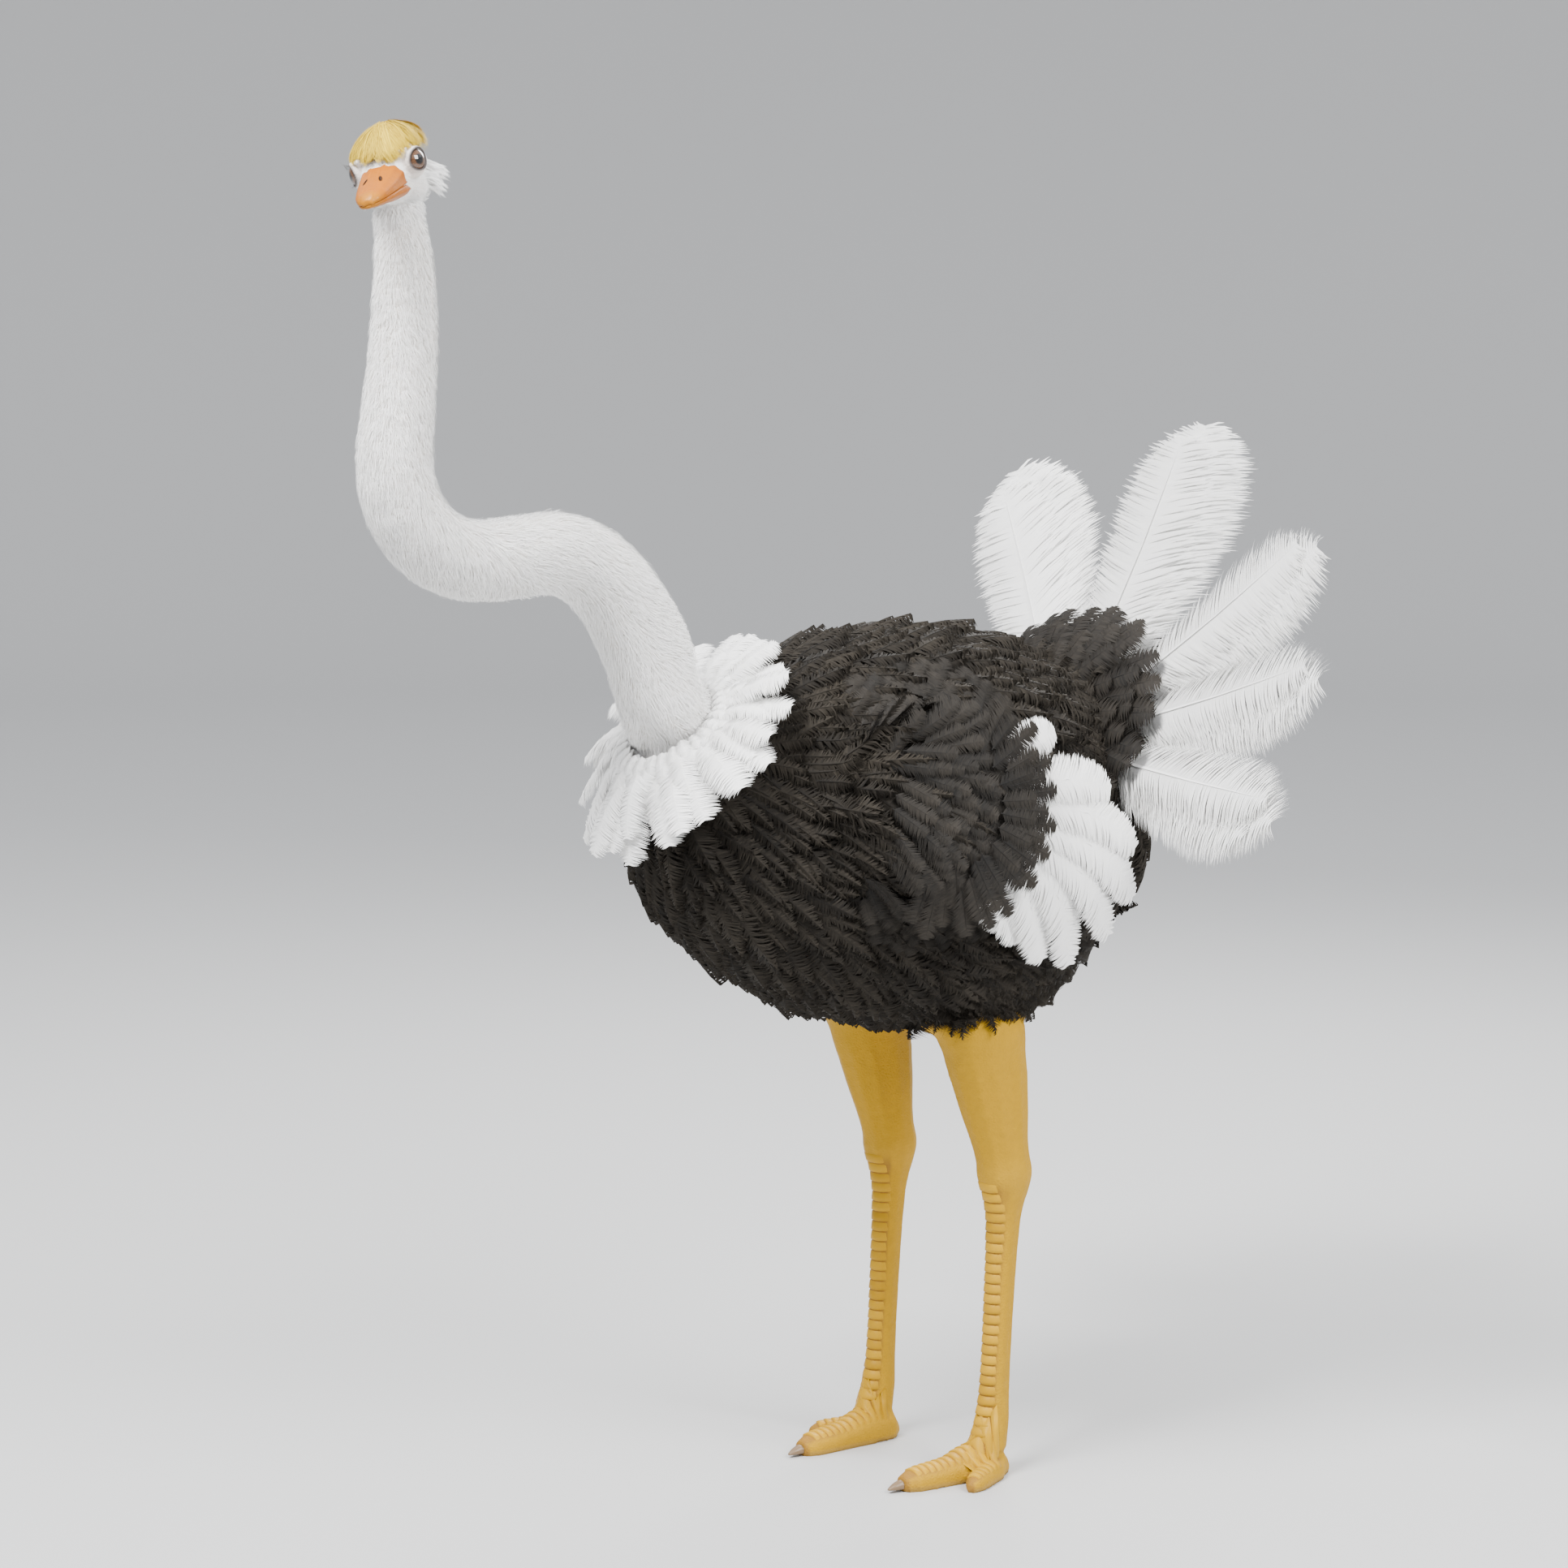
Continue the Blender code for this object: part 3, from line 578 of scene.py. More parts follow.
def one_skin():
    """The whole skin as one mesh: the fine head and legs are joined to the body by strips of faces."""
    head = head_skin()
    half = JOINT_GAP / 2
    body = trimmed(body_skin(), LEG_JOINT + half, NECK_JOINT - half)
    bm = bmesh.new()
    legs = [trimmed(leg_skin(side), high=LEG_JOINT - half) for side in ("left", "right")]
    for part in (body, *legs):
        bm.from_mesh(mesh_from(*part))
    bm.from_mesh(above(head, NECK_JOINT + half))
    bridge(bm, NECK_JOINT, 0.05, 0)
    for sign, _ in SIDES:
        bridge(bm, LEG_JOINT, 0.04, sign)
    bmesh.ops.triangulate(bm, faces=bm.faces[:])
    bmesh.ops.recalc_face_normals(bm, faces=bm.faces[:])
    near = [v for v in bm.verts if abs(v.co.z - NECK_JOINT) < 0.016 or abs(v.co.z - LEG_JOINT) < 0.022]
    for _ in range(12):
        bmesh.ops.smooth_vert(bm, verts=near, factor=0.5, use_axis_x=True, use_axis_y=True, use_axis_z=True)
    mesh = bpy.data.meshes.new("skin")
    bm.to_mesh(mesh)
    bm.free()
    return mesh


def above(mesh, level):
    """The largest connected part of mesh above a level."""
    bm = bmesh.new()
    bm.from_mesh(mesh)
    bmesh.ops.delete(bm, geom=[vert for vert in bm.verts if vert.co.z < level], context="VERTS")
    waiting, best = set(bm.verts), []
    while waiting:
        front, group = [waiting.pop()], []
        while front:
            vert = front.pop()
            group.append(vert)
            near = {edge.other_vert(vert) for edge in vert.link_edges} & waiting
            waiting -= near
            front.extend(near)
        best = max(best, group, key=len)
    keep = set(best)
    bmesh.ops.delete(bm, geom=[vert for vert in bm.verts if vert not in keep], context="VERTS")
    result = bpy.data.meshes.new("above")
    bm.to_mesh(result)
    bm.free()
    return result


class Surface:
    """The finished skin with what the coat needs: normals, distance from the bill, and an unwrap."""

    BANDS = 160

    def __init__(self, mesh):
        self.points, self.faces = arrays_of(mesh)
        self.centres = self.points[self.faces].mean(1)
        self.normals = normals_of(self.points, self.faces)
        self.edges = edges_of(self.faces)
        self.tree = tree_of((self.points, self.faces))
        self.run = self.distance_from_bill()
        self.share = self.run / self.run.max()
        band = np.minimum((self.share * self.BANDS).astype(int), self.BANDS - 1)
        count = np.maximum(np.bincount(band, minlength=self.BANDS), 1)
        sums = [np.bincount(band, self.points[:, k], self.BANDS) for k in range(3)]
        self.middle = np.stack([total / count for total in sums], 1)

    def distance_from_bill(self):
        """Distance along the skin from the bill's root, by the shortest way over its edges."""
        count = len(self.points)
        near = [[] for _ in range(count)]
        length = np.linalg.norm(self.points[self.edges[:, 0]] - self.points[self.edges[:, 1]], axis=1)
        for (a, b), d in zip(self.edges.tolist(), length.tolist()):
            near[a].append((b, d))
            near[b].append((a, d))
        local = apply(TO_HEAD, self.points)
        starts = np.nonzero((local[:, 1] < -0.055) & (self.points[:, 2] > NECK_JOINT))[0].tolist()
        reached = [9.0] * count
        heap = [(0.0, i) for i in starts]
        for _, i in heap:
            reached[i] = 0.0
        while heap:
            at, i = heapq.heappop(heap)
            if at > reached[i]:
                continue
            for j, d in near[i]:
                if at + d < reached[j]:
                    reached[j] = at + d
                    heapq.heappush(heap, (at + d, j))
        reached = np.array(reached)
        reached[reached > 8] = reached[reached < 8].max()
        return averaged(reached, self.edges, 12)

    def gradient(self, face_ids):
        """Direction of growing distance from the bill on each face: the lie of the coat."""
        a, b, c = (self.points[self.faces[face_ids, k]] for k in range(3))
        fa, fb, fc = (self.run[self.faces[face_ids, k]] for k in range(3))
        normal = np.cross(b - a, c - a)
        rise = fa[:, None] * np.cross(normal, c - b)
        rise += fb[:, None] * np.cross(normal, a - c)
        rise += fc[:, None] * np.cross(normal, b - a)
        return unit(rise)

    def unwrap(self, points):
        """Places of points on the unwrap: round the body by distance from the bill."""
        uv = np.empty((len(points), 2))
        for i, p in enumerate(points.tolist()):
            _, _, face, _ = self.tree.find_nearest(p)
            share = self.share[self.faces[face, 0]]
            away = np.array(p) - self.middle[min(int(share * self.BANDS), self.BANDS - 1)]
            uv[i] = (math.atan2(away[0], away[2] - away[1] * 0.3) / math.tau + 0.5, share)
        return 0.004 + 0.990 * uv

    def scatter(self, keep, spacing, most=90000):
        """Evenly spread roots on the faces that keep picks: (points, normals, face ids)."""
        chosen = np.nonzero(keep)[0]
        corner = self.points[self.faces[chosen]]
        area = np.linalg.norm(np.cross(corner[:, 1] - corner[:, 0], corner[:, 2] - corner[:, 0]), axis=1) / 2
        count = int(min(most, 7 * area.sum() / spacing**2))
        pick = RANDOM.choice(len(chosen), count, p=area / area.sum())
        u, v = RANDOM.random(count), RANDOM.random(count)
        flip = u + v > 1
        u[flip], v[flip] = 1 - u[flip], 1 - v[flip]
        a, b, c = (corner[pick, k] for k in range(3))
        spots = a + u[:, None] * (b - a) + v[:, None] * (c - a)
        kept = spread(spots, spacing)
        ids = chosen[pick[kept]]
        return spots[kept], unit(self.normals[self.faces[ids]].mean(1)), ids


def spread(spots, spacing):
    """Which spots to keep so that no two are nearer than spacing."""
    cells, kept = {}, []
    for i, (x, y, z) in enumerate(spots.tolist()):
        a, b, c = int(x // spacing), int(y // spacing), int(z // spacing)
        clear = True
        for key in ((a + p, b + q, c + r) for p in (0, -1, 1) for q in (0, -1, 1) for r in (0, -1, 1)):
            other = cells.get(key)
            if other and any((x - o[0]) ** 2 + (y - o[1]) ** 2 + (z - o[2]) ** 2 < spacing**2 for o in other):
                clear = False
                break
        if clear:
            cells.setdefault((a, b, c), []).append((x, y, z))
            kept.append(i)
    return np.array(kept, int)


# ---------------------------------------------------------------- feathers


def rounded(t):
    """Half width of a broad feather with a round tip, as a share of its greatest."""
    below = np.maximum(0.62 - t, 0) / 0.62
    beyond = np.maximum(t - 0.62, 0) / 0.385
    return np.sqrt(np.clip(1 - 0.80 * below**2 - beyond**2.4, 0, 1))


def broad(t):
    """Half width of a great plume, widest at three quarters of its length."""
    steps = (0, 0.06, 0.25, 0.55, 0.72, 0.82, 0.89, 0.94, 0.975, 1)
    widths = (0.22, 0.34, 0.62, 0.92, 1.00, 0.97, 0.88, 0.74, 0.54, 0.26)
    return np.interp(t, steps, widths)


def covert(t):
    """Half width of a covert feather: narrow at its root, with a blunt round tip."""
    return np.interp(t, (0, 0.2, 0.5, 0.76, 0.88, 0.95, 1), (0.35, 0.70, 0.93, 1.0, 0.92, 0.74, 0.40))


def petal(t):
    """Half width of a ruff feather, broad from its root to its round tip."""
    along = (0, 0.15, 0.45, 0.72, 0.86, 0.93, 0.97, 1)
    return np.interp(t, along, (0.55, 0.80, 0.97, 1.0, 0.93, 0.80, 0.62, 0.36))


def pointed(t):
    """Half width of a loose feather that narrows to its tip."""
    return np.clip(np.sin(math.pi * np.clip(t, 0, 1) ** 0.75), 0, 1) ** 0.7 * (1 - 0.25 * t)


class Template:
    """A pattern for one feather: along (0 root to 1 tip), across (-1 to 1), lift, tone and triangles."""

    def __init__(self):
        self.along, self.across, self.lift, self.tone, self.faces = [], [], [], [], []

    def strip(self, spine, half, tone):
        """A strip along spine, rows of (along, across, lift), with half breadths; it ends in a point."""
        start = len(self.along)
        for k, (t, a, h) in enumerate(spine[:-1]):
            dt, da = half[k]
            self.along += [t - dt, t + dt]
            self.across += [a - da, a + da]
            self.lift += [h, h + 0.012]
            self.tone += [tone, tone]
        t, a, h = spine[-1]
        self.along.append(t)
        self.across.append(a)
        self.lift.append(h)
        self.tone.append(tone)
        rows = len(spine) - 1
        for k in range(rows - 1):
            i = start + 2 * k
            self.faces += [(i, i + 1, i + 3), (i, i + 3, i + 2)]
        i = start + 2 * (rows - 1)
        self.faces.append((i, i + 1, i + 2))

    def done(self):
        self.along, self.across, self.lift, self.tone = (
            np.array(x, float) for x in (self.along, self.across, self.lift, self.tone)
        )
        self.faces = np.array(self.faces, int)
        return self


def barb(random, root, side, rows, outline, sweep, ragged, camber, curl, lift):
    """The spine of one barb from the shaft to the vane's edge: rows of (along, across, lift)."""
    reach = root + sweep * (1 - root) * (0.30 + 0.70 * root) * (1 + 0.25 * ragged * random.normal())
    reach += 0.020 * root**3
    width = float(outline(np.array(min(reach, 0.999)))) * (1 + ragged * random.normal())
    width = max(width, 0.03)
    droop = curl * (0.6 + 0.8 * random.random())
    rise = 0.04 * random.normal() + lift
    spine = []
    for k in range(rows + 1):
        s = k / rows
        along = root + (reach - root) * s**1.15 + 0.04 * ragged * random.normal() * s
        height = -camber * (s * width) ** 2 + rise * s - droop * s**2.5
        spine.append((along, side * width * s, height))
    return spine


def vane(
    seed, pairs, outline, rows=2, sweep=0.38, start=0.06, ragged=0.10,
    camber=0.10, curl=0.0, layers=1, overlap=1.5,
):
    """A feather: a shaft with pairs of barbs on each side that fill the outline, frayed by ragged."""
    random = np.random.default_rng(seed)
    made = Template()
    half = [(0.5 * overlap / pairs * (1 - 0.70 * (k / rows)), 0.0) for k in range(rows + 1)]
    for layer in range(layers):
        lift = 0.10 * (layer - (layers - 1) / 2)
        for j in range(pairs):
            root = start + (0.985 - start) * (j + random.random() * 0.5) / pairs
            for side in (-1, 1):
                spine = barb(random, root, side, rows, outline, sweep, ragged, camber, curl, lift)
                made.strip(spine, half, np.clip(0.5 + 0.22 * random.normal(), 0, 1))
    shaft = [(along, 0.0, 0.02) for along in (0.0, 0.3, 0.6, 0.97)]
    made.strip(shaft, [(0.0, width) for width in (0.045, 0.035, 0.022)], 0.15)
    return made.done()


def lock(seed, count, rows, gather=0.5, ragged=0.12, breadth=0.28, splay=0.0):
    """A lock of count hair-like strands that gather towards the tip, or splay where splay is more."""
    random = np.random.default_rng(seed)
    made = Template()
    for j in range(count):
        base = -0.8 + 1.6 * (j + 0.5) / count + 0.2 * random.normal() / count
        end = base * (1 - gather) + splay * random.normal()
        top = 1 - ragged * abs(random.normal())
        height, bow = 0.25 * random.normal(), 0.10 * random.normal()
        spine, half = [], []
        for k in range(rows + 1):
            s = k / rows
            across = base + (end - base) * s**1.3 + bow * math.sin(math.pi * s)
            spine.append((top * s, across, height * (1 - 0.6 * s)))
            half.append((0.0, breadth * (1 - 0.55 * s)))
        made.strip(spine, half, np.clip(0.5 + 0.25 * random.normal(), 0, 1))
    return made.done()


def kinds(maker, seed, count, *sizes, **looks):
    """Templates that differ only in their random seed."""
    return [maker(seed + k, *sizes, **looks) for k in range(count)]


PATCH = 0.003  # how much of the unwrap one feather takes


def place(ribbons, template, widths, tones, root_uv):
    """Feathers of one template along ribbons of (points, normals), as (points, faces, uv, tone)."""
    centre, normal = ribbons
    steps = centre.shape[1] - 1
    at = template.along * steps
    low = np.clip(at.astype(int), 0, steps - 1)
    part = (at - low)[None, :, None]

    def between(rows):
        return rows[:, low] * (1 - part) + rows[:, low + 1] * part

    forward = unit(between(unit(np.gradient(centre, axis=1))))
    side = unit(np.cross(forward, unit(between(normal))))
    up = np.cross(side, forward)
    scale = widths[:, None, None]
    across, lift = template.across[None, :, None], template.lift[None, :, None]
    points = between(centre) + side * across * scale + up * lift * scale
    count, size = len(centre), len(template.along)
    faces = template.faces[None] + (np.arange(count) * size)[:, None, None]
    patch = np.stack([template.across * 0.5, template.along - 0.5], 1) * PATCH
    uv = np.clip(root_uv[:, None] + patch[None], 0.0005, 0.9995)
    tone = np.clip(0.55 * template.tone[None] + 0.45 * tones[:, None], 0, 1)
    # darker at each feather's root and lighter at its tip: painted shade where the feathers lie over one
    # another
    tone = np.clip(tone + 0.25 * (template.along[None] - 0.5), 0, 1)
    return points.reshape(-1, 3), faces.reshape(-1, 3), uv.reshape(-1, 2), tone.ravel()


MOST_TRIANGLES = 190000  # in one piece of coat


def dealt(kind, templates):
    """Groups of (template, feathers) that each make one piece; kind is the template of each feather."""
    order = np.argsort(kind, kind="stable")
    groups, group, size = [], [], 0
    for k, template in enumerate(templates):
        mine = order[kind[order] == k]
        each = len(template.faces)
        while len(mine):
            take = mine[: (MOST_TRIANGLES - size) // each]
            if len(take):
                group.append((k, take))
                size += len(take) * each
                mine = mine[len(take) :]
            if len(mine):
                groups.append(group)
                group, size = [], 0
    return groups + [group]


def coat(name, ribbons, templates, widths, material, skin):
    """Mesh pieces of feathers along ribbons, the templates dealt out at random."""
    centre, normal, widths = np.asarray(ribbons[0]), np.asarray(ribbons[1]), np.asarray(widths)
    root_uv = skin.unwrap(centre[:, 0])
    tones = RANDOM.random(len(widths))
    groups = dealt(RANDOM.integers(0, len(templates), len(widths)), templates)
    made = []
    for number, group in enumerate(groups):
        pieces, start = [], 0
        for k, take in group:
            ribbon = (centre[take], normal[take])
            p, f, uv, tone = place(ribbon, templates[k], widths[take], tones[take], root_uv[take])
            pieces.append((p, f + start, uv, tone))
            start += len(p)
        title = name if len(groups) == 1 else f"{name}_{number + 1}"
        p, f, uv, tone = (np.concatenate(column) for column in zip(*pieces))
        made.append(array_mesh(title, p, f, material, uv=uv, tone=tone))
    return made


def lay(tree, roots, directions, lengths, lift, steps=5, cling=1.0, fall=0.0):
    """Ribbons from roots that keep to a surface, lift(share of length) above it; fall bends them down."""
    count = len(roots)
    points, normals = np.empty((count, steps + 1, 3)), np.empty((count, steps + 1, 3))
    heights = np.array([lift(k / steps) for k in range(steps + 1)])
    if heights.ndim == 1:
        heights = np.repeat(heights[:, None], count, 1)
    for i in range(count):
        at, way = Vector(roots[i]), Vector(directions[i])
        stride = lengths[i] / steps
        last = None
        for k in range(steps + 1):
            near, normal, _, _ = tree.find_nearest(at)
            if last is not None:
                normal = (normal * 0.6 + last * 0.4).normalized()
            hold = cling if (at - near).dot(normal) > 0 else 1.0
            at = at.lerp(near, hold)
            points[i, k] = at + normal * heights[k, i]
            normals[i, k] = normal
            last = normal
            way = way + Vector((0, 0, -fall))
            way = (way - normal * way.dot(normal) * hold).normalized()
            at = at + way * stride
    return points, normals


def turned(directions, normals, angles):
    """Directions turned about the normals."""
    c, s = np.cos(angles)[:, None], np.sin(angles)[:, None]
    return unit(directions * c + np.cross(normals, directions) * s)


def along_skin(directions, normals):
    """Directions with their part along the normals taken away."""
    return unit(directions - normals * (directions * normals).sum(1, keepdims=True))


def drift(points, scale, seed):
    """Slow noise from -1 to 1 over space."""
    random = np.random.default_rng(seed)
    total = np.zeros(len(points))
    for _ in range(5):
        wave = random.normal(size=3) * scale
        total += np.sin(points @ wave + random.random() * math.tau)
    return total / 2.5


def on_body(skin):
    """Which faces of the skin bear the body's plumes."""
    centre = skin.centres
    near_trunk = (centre[:, 2] > 0.70) & (centre[:, 2] < 1.50) & (centre[:, 1] > -0.36)
    keep = in_trunk(centre, near_trunk, 0.010)
    for sign, _ in SIDES:
        keep |= on_wing(centre, sign, 1.1, front=-0.30)
        keep &= ~on_wing(centre, sign, 0.56, front=-0.045) & ~under_plumes(centre, sign, -0.07)
    keep &= np.linalg.norm(centre - RUFF_CENTRE, axis=1) > 0.120
    return keep & ((centre[:, 2] > 0.79) | (from_leg(centre) > 0.15))


def body_coat(skin):
    """Loose black plumes over the trunk, swept back and hanging at the flanks, breast and rump."""
    roots, normals, _ = skin.scatter(on_body(skin), spacing=0.0171)
    count = len(roots)
    rear = ramp(roots[:, 1], 0.30, 0.62)
    front = ramp(roots[:, 1], -0.05, -0.26)
    low = ramp(roots[:, 2], 1.0, 0.80)
    shy = np.maximum(under_plumes(roots, 1, 0.10), under_plumes(roots, -1, 0.10))
    flow = along_skin(BACK + DOWN * (0.42 + 0.5 * rear + 0.3 * front)[:, None], normals)
    angles = 0.30 * drift(roots, 9.0, 3) + 0.20 * RANDOM.normal(size=count)
    flow = turned(flow, normals, angles)
    length = (0.112 + 0.022 * rear - 0.026 * front) * (1 + 0.15 * RANDOM.normal(size=count))
    length *= 1 - 0.40 * low * ramp(np.abs(normals[:, 2]), 0.2, 0.8)
    clump = drift(roots, 34.0, 8) * (1 - 0.7 * shy)
    length *= 1 + 0.20 * clump
    room = np.clip(roots[:, 2] - 0.765, 0.040, 0.2)
    length = np.where(from_leg(roots) < 0.17, np.minimum(length, room), length)
    base = 0.004 + 0.006 * RANDOM.random(count)
    tip = (0.022 + 0.012 * RANDOM.random(count)) * (1 - 0.25 * front) * (1 - 0.55 * shy)
    tip += 0.010 * np.maximum(clump, 0)

    def height(t):
        return base + (tip - base) * t**0.8

    ribbons = lay(skin.tree, roots, flow, length, height, cling=0.75, fall=0.03)
    looks = dict(sweep=0.42, ragged=0.30, camber=0.16, curl=0.45, overlap=1.25)
    widths = 0.031 + 0.008 * RANDOM.random(count)
    return coat("body_feathers", ribbons, kinds(vane, 20, 6, 37, pointed, **looks), widths, BLACK, skin)


def wing_axes(sign, lean):
    """Back, up and outward axes of a wing as rows; sign is 1 for the left wing."""
    back = unit(np.array([lean[0] * sign, 1, 0]))
    up = unit(np.array([-lean[1] * sign, 0, 1]))
    return np.array([back, up, unit(np.cross(back, up)) * sign])


def wing_place(points, sign, origin, lean):
    """(back, up, outward) distances of points from a place on a wing."""
    away = points - mirror(origin, sign)
    return [away @ axis for axis in wing_axes(sign, lean)]


def on_wing(points, sign, share, front=-0.115, deepest=-0.09):
    """Which points lie on the covert disc's outer face, within share of its radius, behind a front."""
    x, y, out = wing_place(points, sign, WING_CENTRE, WING_LEAN)
    return (np.hypot(x, y) < share * WING_RADIUS) & (x > front) & (out > deepest)


def under_plumes(points, sign, margin):
    """Which points lie under the fan of flight plumes, grown by margin."""
    x, y, out = wing_place(points, sign, FLIGHT_ROOT, FLIGHT_LEAN)
    angle = np.degrees(np.arctan2(y, x))
    bearings, reaches = zip(*sorted(FLIGHT_PLUMES))
    reach = np.interp(angle, bearings, reaches, left=0, right=0)
    return (np.hypot(x, y) < reach + margin) & (reach > 0) & (out > -0.16)


def trouser_coat(skin):
    """The ragged hem of plumes that hangs round the top of each leg."""
    centre = skin.centres
    keep = np.zeros(len(centre), bool)
    for name in ("thigh_left", "thigh_right"):
        lo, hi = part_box(name)
        x, y = (lo.x + hi.x) / 2, (lo.y + hi.y) / 2
        around = np.hypot(centre[:, 0] - x, (centre[:, 1] - y) * 0.75)
        keep |= (around < 0.130) & (centre[:, 2] > 0.792) & (centre[:, 2] < 0.88)
    roots, _, _ = skin.scatter(keep, spacing=0.0120)
    axis_x = np.where(roots[:, 0] > MIDDLE_X, 1, -1) * LEG_AXIS[0] + MIDDLE_X
    outward = np.stack([roots[:, 0] - axis_x, roots[:, 1] - LEG_AXIS[1], np.zeros(len(roots))], 1)
    flow = unit(DOWN + unit(outward) * 0.25 + BACK * 0.10 + 0.10 * RANDOM.normal(size=roots.shape))
    length = 0.030 + 0.016 * RANDOM.random(len(roots))
    ribbons = lay(skin.tree, roots, flow, length, lambda t: 0.004 + 0.010 * t, cling=0.25, fall=0.15)
    templates = kinds(vane, 40, 4, 28, pointed, sweep=0.5, ragged=0.30, camber=0.15, curl=0.35, overlap=1.2)
    return coat("thigh_feathers", ribbons, templates, 0.018 + 0.006 * RANDOM.random(len(roots)), BLACK, skin)


def neck_coat(skin):
    """Short white down that lies along the neck."""
    centre = skin.centres
    below_head = (apply(TO_HEAD, centre)[:, 2] < -0.050) | (centre[:, 2] < NECK_JOINT - 0.05)
    region = (centre[:, 1] < -0.10) & (centre[:, 2] > 1.20) & below_head
    roots, normals, faces = skin.scatter(region & ~in_trunk(centre, region, 0.010), spacing=0.0072)
    flow = along_skin(skin.gradient(faces), normals)
    flow = turned(flow, normals, 0.18 * RANDOM.normal(size=len(roots)) + 0.15 * drift(roots, 18.0, 5))
    high = ramp(roots[:, 2], 1.5, 2.0)
    length = (0.027 - 0.010 * high) * (1 + 0.15 * RANDOM.normal(size=len(roots)))
    rise = 0.0030 + 0.0030 * RANDOM.random(len(roots))
    ribbons = lay(skin.tree, roots, flow, length, lambda t: 0.0008 + rise * t**0.7, steps=3)
    templates = kinds(lock, 60, 8, 14, 2, gather=-0.15, ragged=0.18, breadth=0.048, splay=0.14)
    return coat("neck_down", ribbons, templates, 0.0075 + 0.003 * RANDOM.random(len(roots)), DOWN_WHITE, skin)


def head_coat(skin):
    """Fine down on the head, shortest on the face, and bristly tufts over the ears."""
    centre = skin.centres
    local = apply(TO_HEAD, centre)
    reach = np.minimum(lid_reach(centre, 1)[0], lid_reach(centre, -1)[0])
    keep = (centre[:, 2] > NECK_JOINT - 0.05) & (reach > 1.75)
    keep &= (local[:, 1] > -0.060) & (local[:, 2] > -0.075)
    for eye in EYE_CENTRES.values():
        keep &= np.linalg.norm(centre - np.array(eye), axis=1) >= EYE_RADIUS + 0.0005
    roots, normals, faces = skin.scatter(keep, spacing=0.0036)
    face = ramp(apply(TO_HEAD, roots)[:, 1], 0.0, -0.045)
    flow = along_skin(skin.gradient(faces), normals)
    flow = turned(flow, normals, 0.2 * RANDOM.normal(size=len(roots)))
    length = (0.0125 - 0.0070 * face) * (1 + 0.2 * RANDOM.normal(size=len(roots)))
    rise = (0.0022 - 0.0012 * face) * (0.6 + 0.8 * RANDOM.random(len(roots)))
    ribbons = lay(skin.tree, roots, flow, np.maximum(length, 0.003), lambda t: 0.0003 + rise * t, steps=3)
    templates = kinds(lock, 80, 6, 8, 2, gather=0.1, ragged=0.2, breadth=0.055, splay=0.15)
    made = coat("head_down", ribbons, templates, 0.0034 - 0.0012 * face, DOWN_WHITE, skin)
    return made + cheek_tufts(skin)


# Where the cheek tufts root, on the left side, in the head's axes: centre and half sizes
CHEEK, CHEEK_SIZE = (0.046, 0.034, -0.022), (0.02, 0.024, 0.022)


def cheek_tufts(skin):
    """Spiky tufts that stand back and out over each ear."""
    cheek = (left_half(skin.centres) - CHEEK) / CHEEK_SIZE
    keep = (np.linalg.norm(cheek, axis=1) < 1) & (skin.centres[:, 2] > NECK_JOINT)
    roots, normals, _ = skin.scatter(keep, spacing=0.0030)
    side = np.sign(apply(TO_HEAD, roots)[:, 0])
    way = np.stack([side * 0.75, np.full(len(roots), 0.75), np.full(len(roots), -0.45)], 1)
    way = unit(way @ FROM_HEAD[:3, :3].T + 0.22 * RANDOM.normal(size=roots.shape))
    length = 0.020 + 0.014 * RANDOM.random(len(roots))
    share = np.linspace(0, 1, 4)[None, :, None]
    sag = np.array([0, 0, -0.25]) * share**2
    points = roots[:, None] + length[:, None, None] * (way[:, None] * share + sag)
    normal = np.repeat(along_skin(normals, way)[:, None], 4, 1)
    templates = kinds(lock, 95, 5, 9, 4, gather=0.65, ragged=0.14, breadth=0.085)
    return coat("cheek_tufts", (points, normal), templates, np.full(len(roots), 0.0036), DOWN_WHITE, skin)


# Crown cap in the head's axes, and its fringe
CROWN_CENTRE, CROWN_SIZE = np.array([0, 0.018, 0.014]), np.array([0.060, 0.082, 0.056])
CROWN_CLUMPS, CROWN_LOCKS = 13, 1050


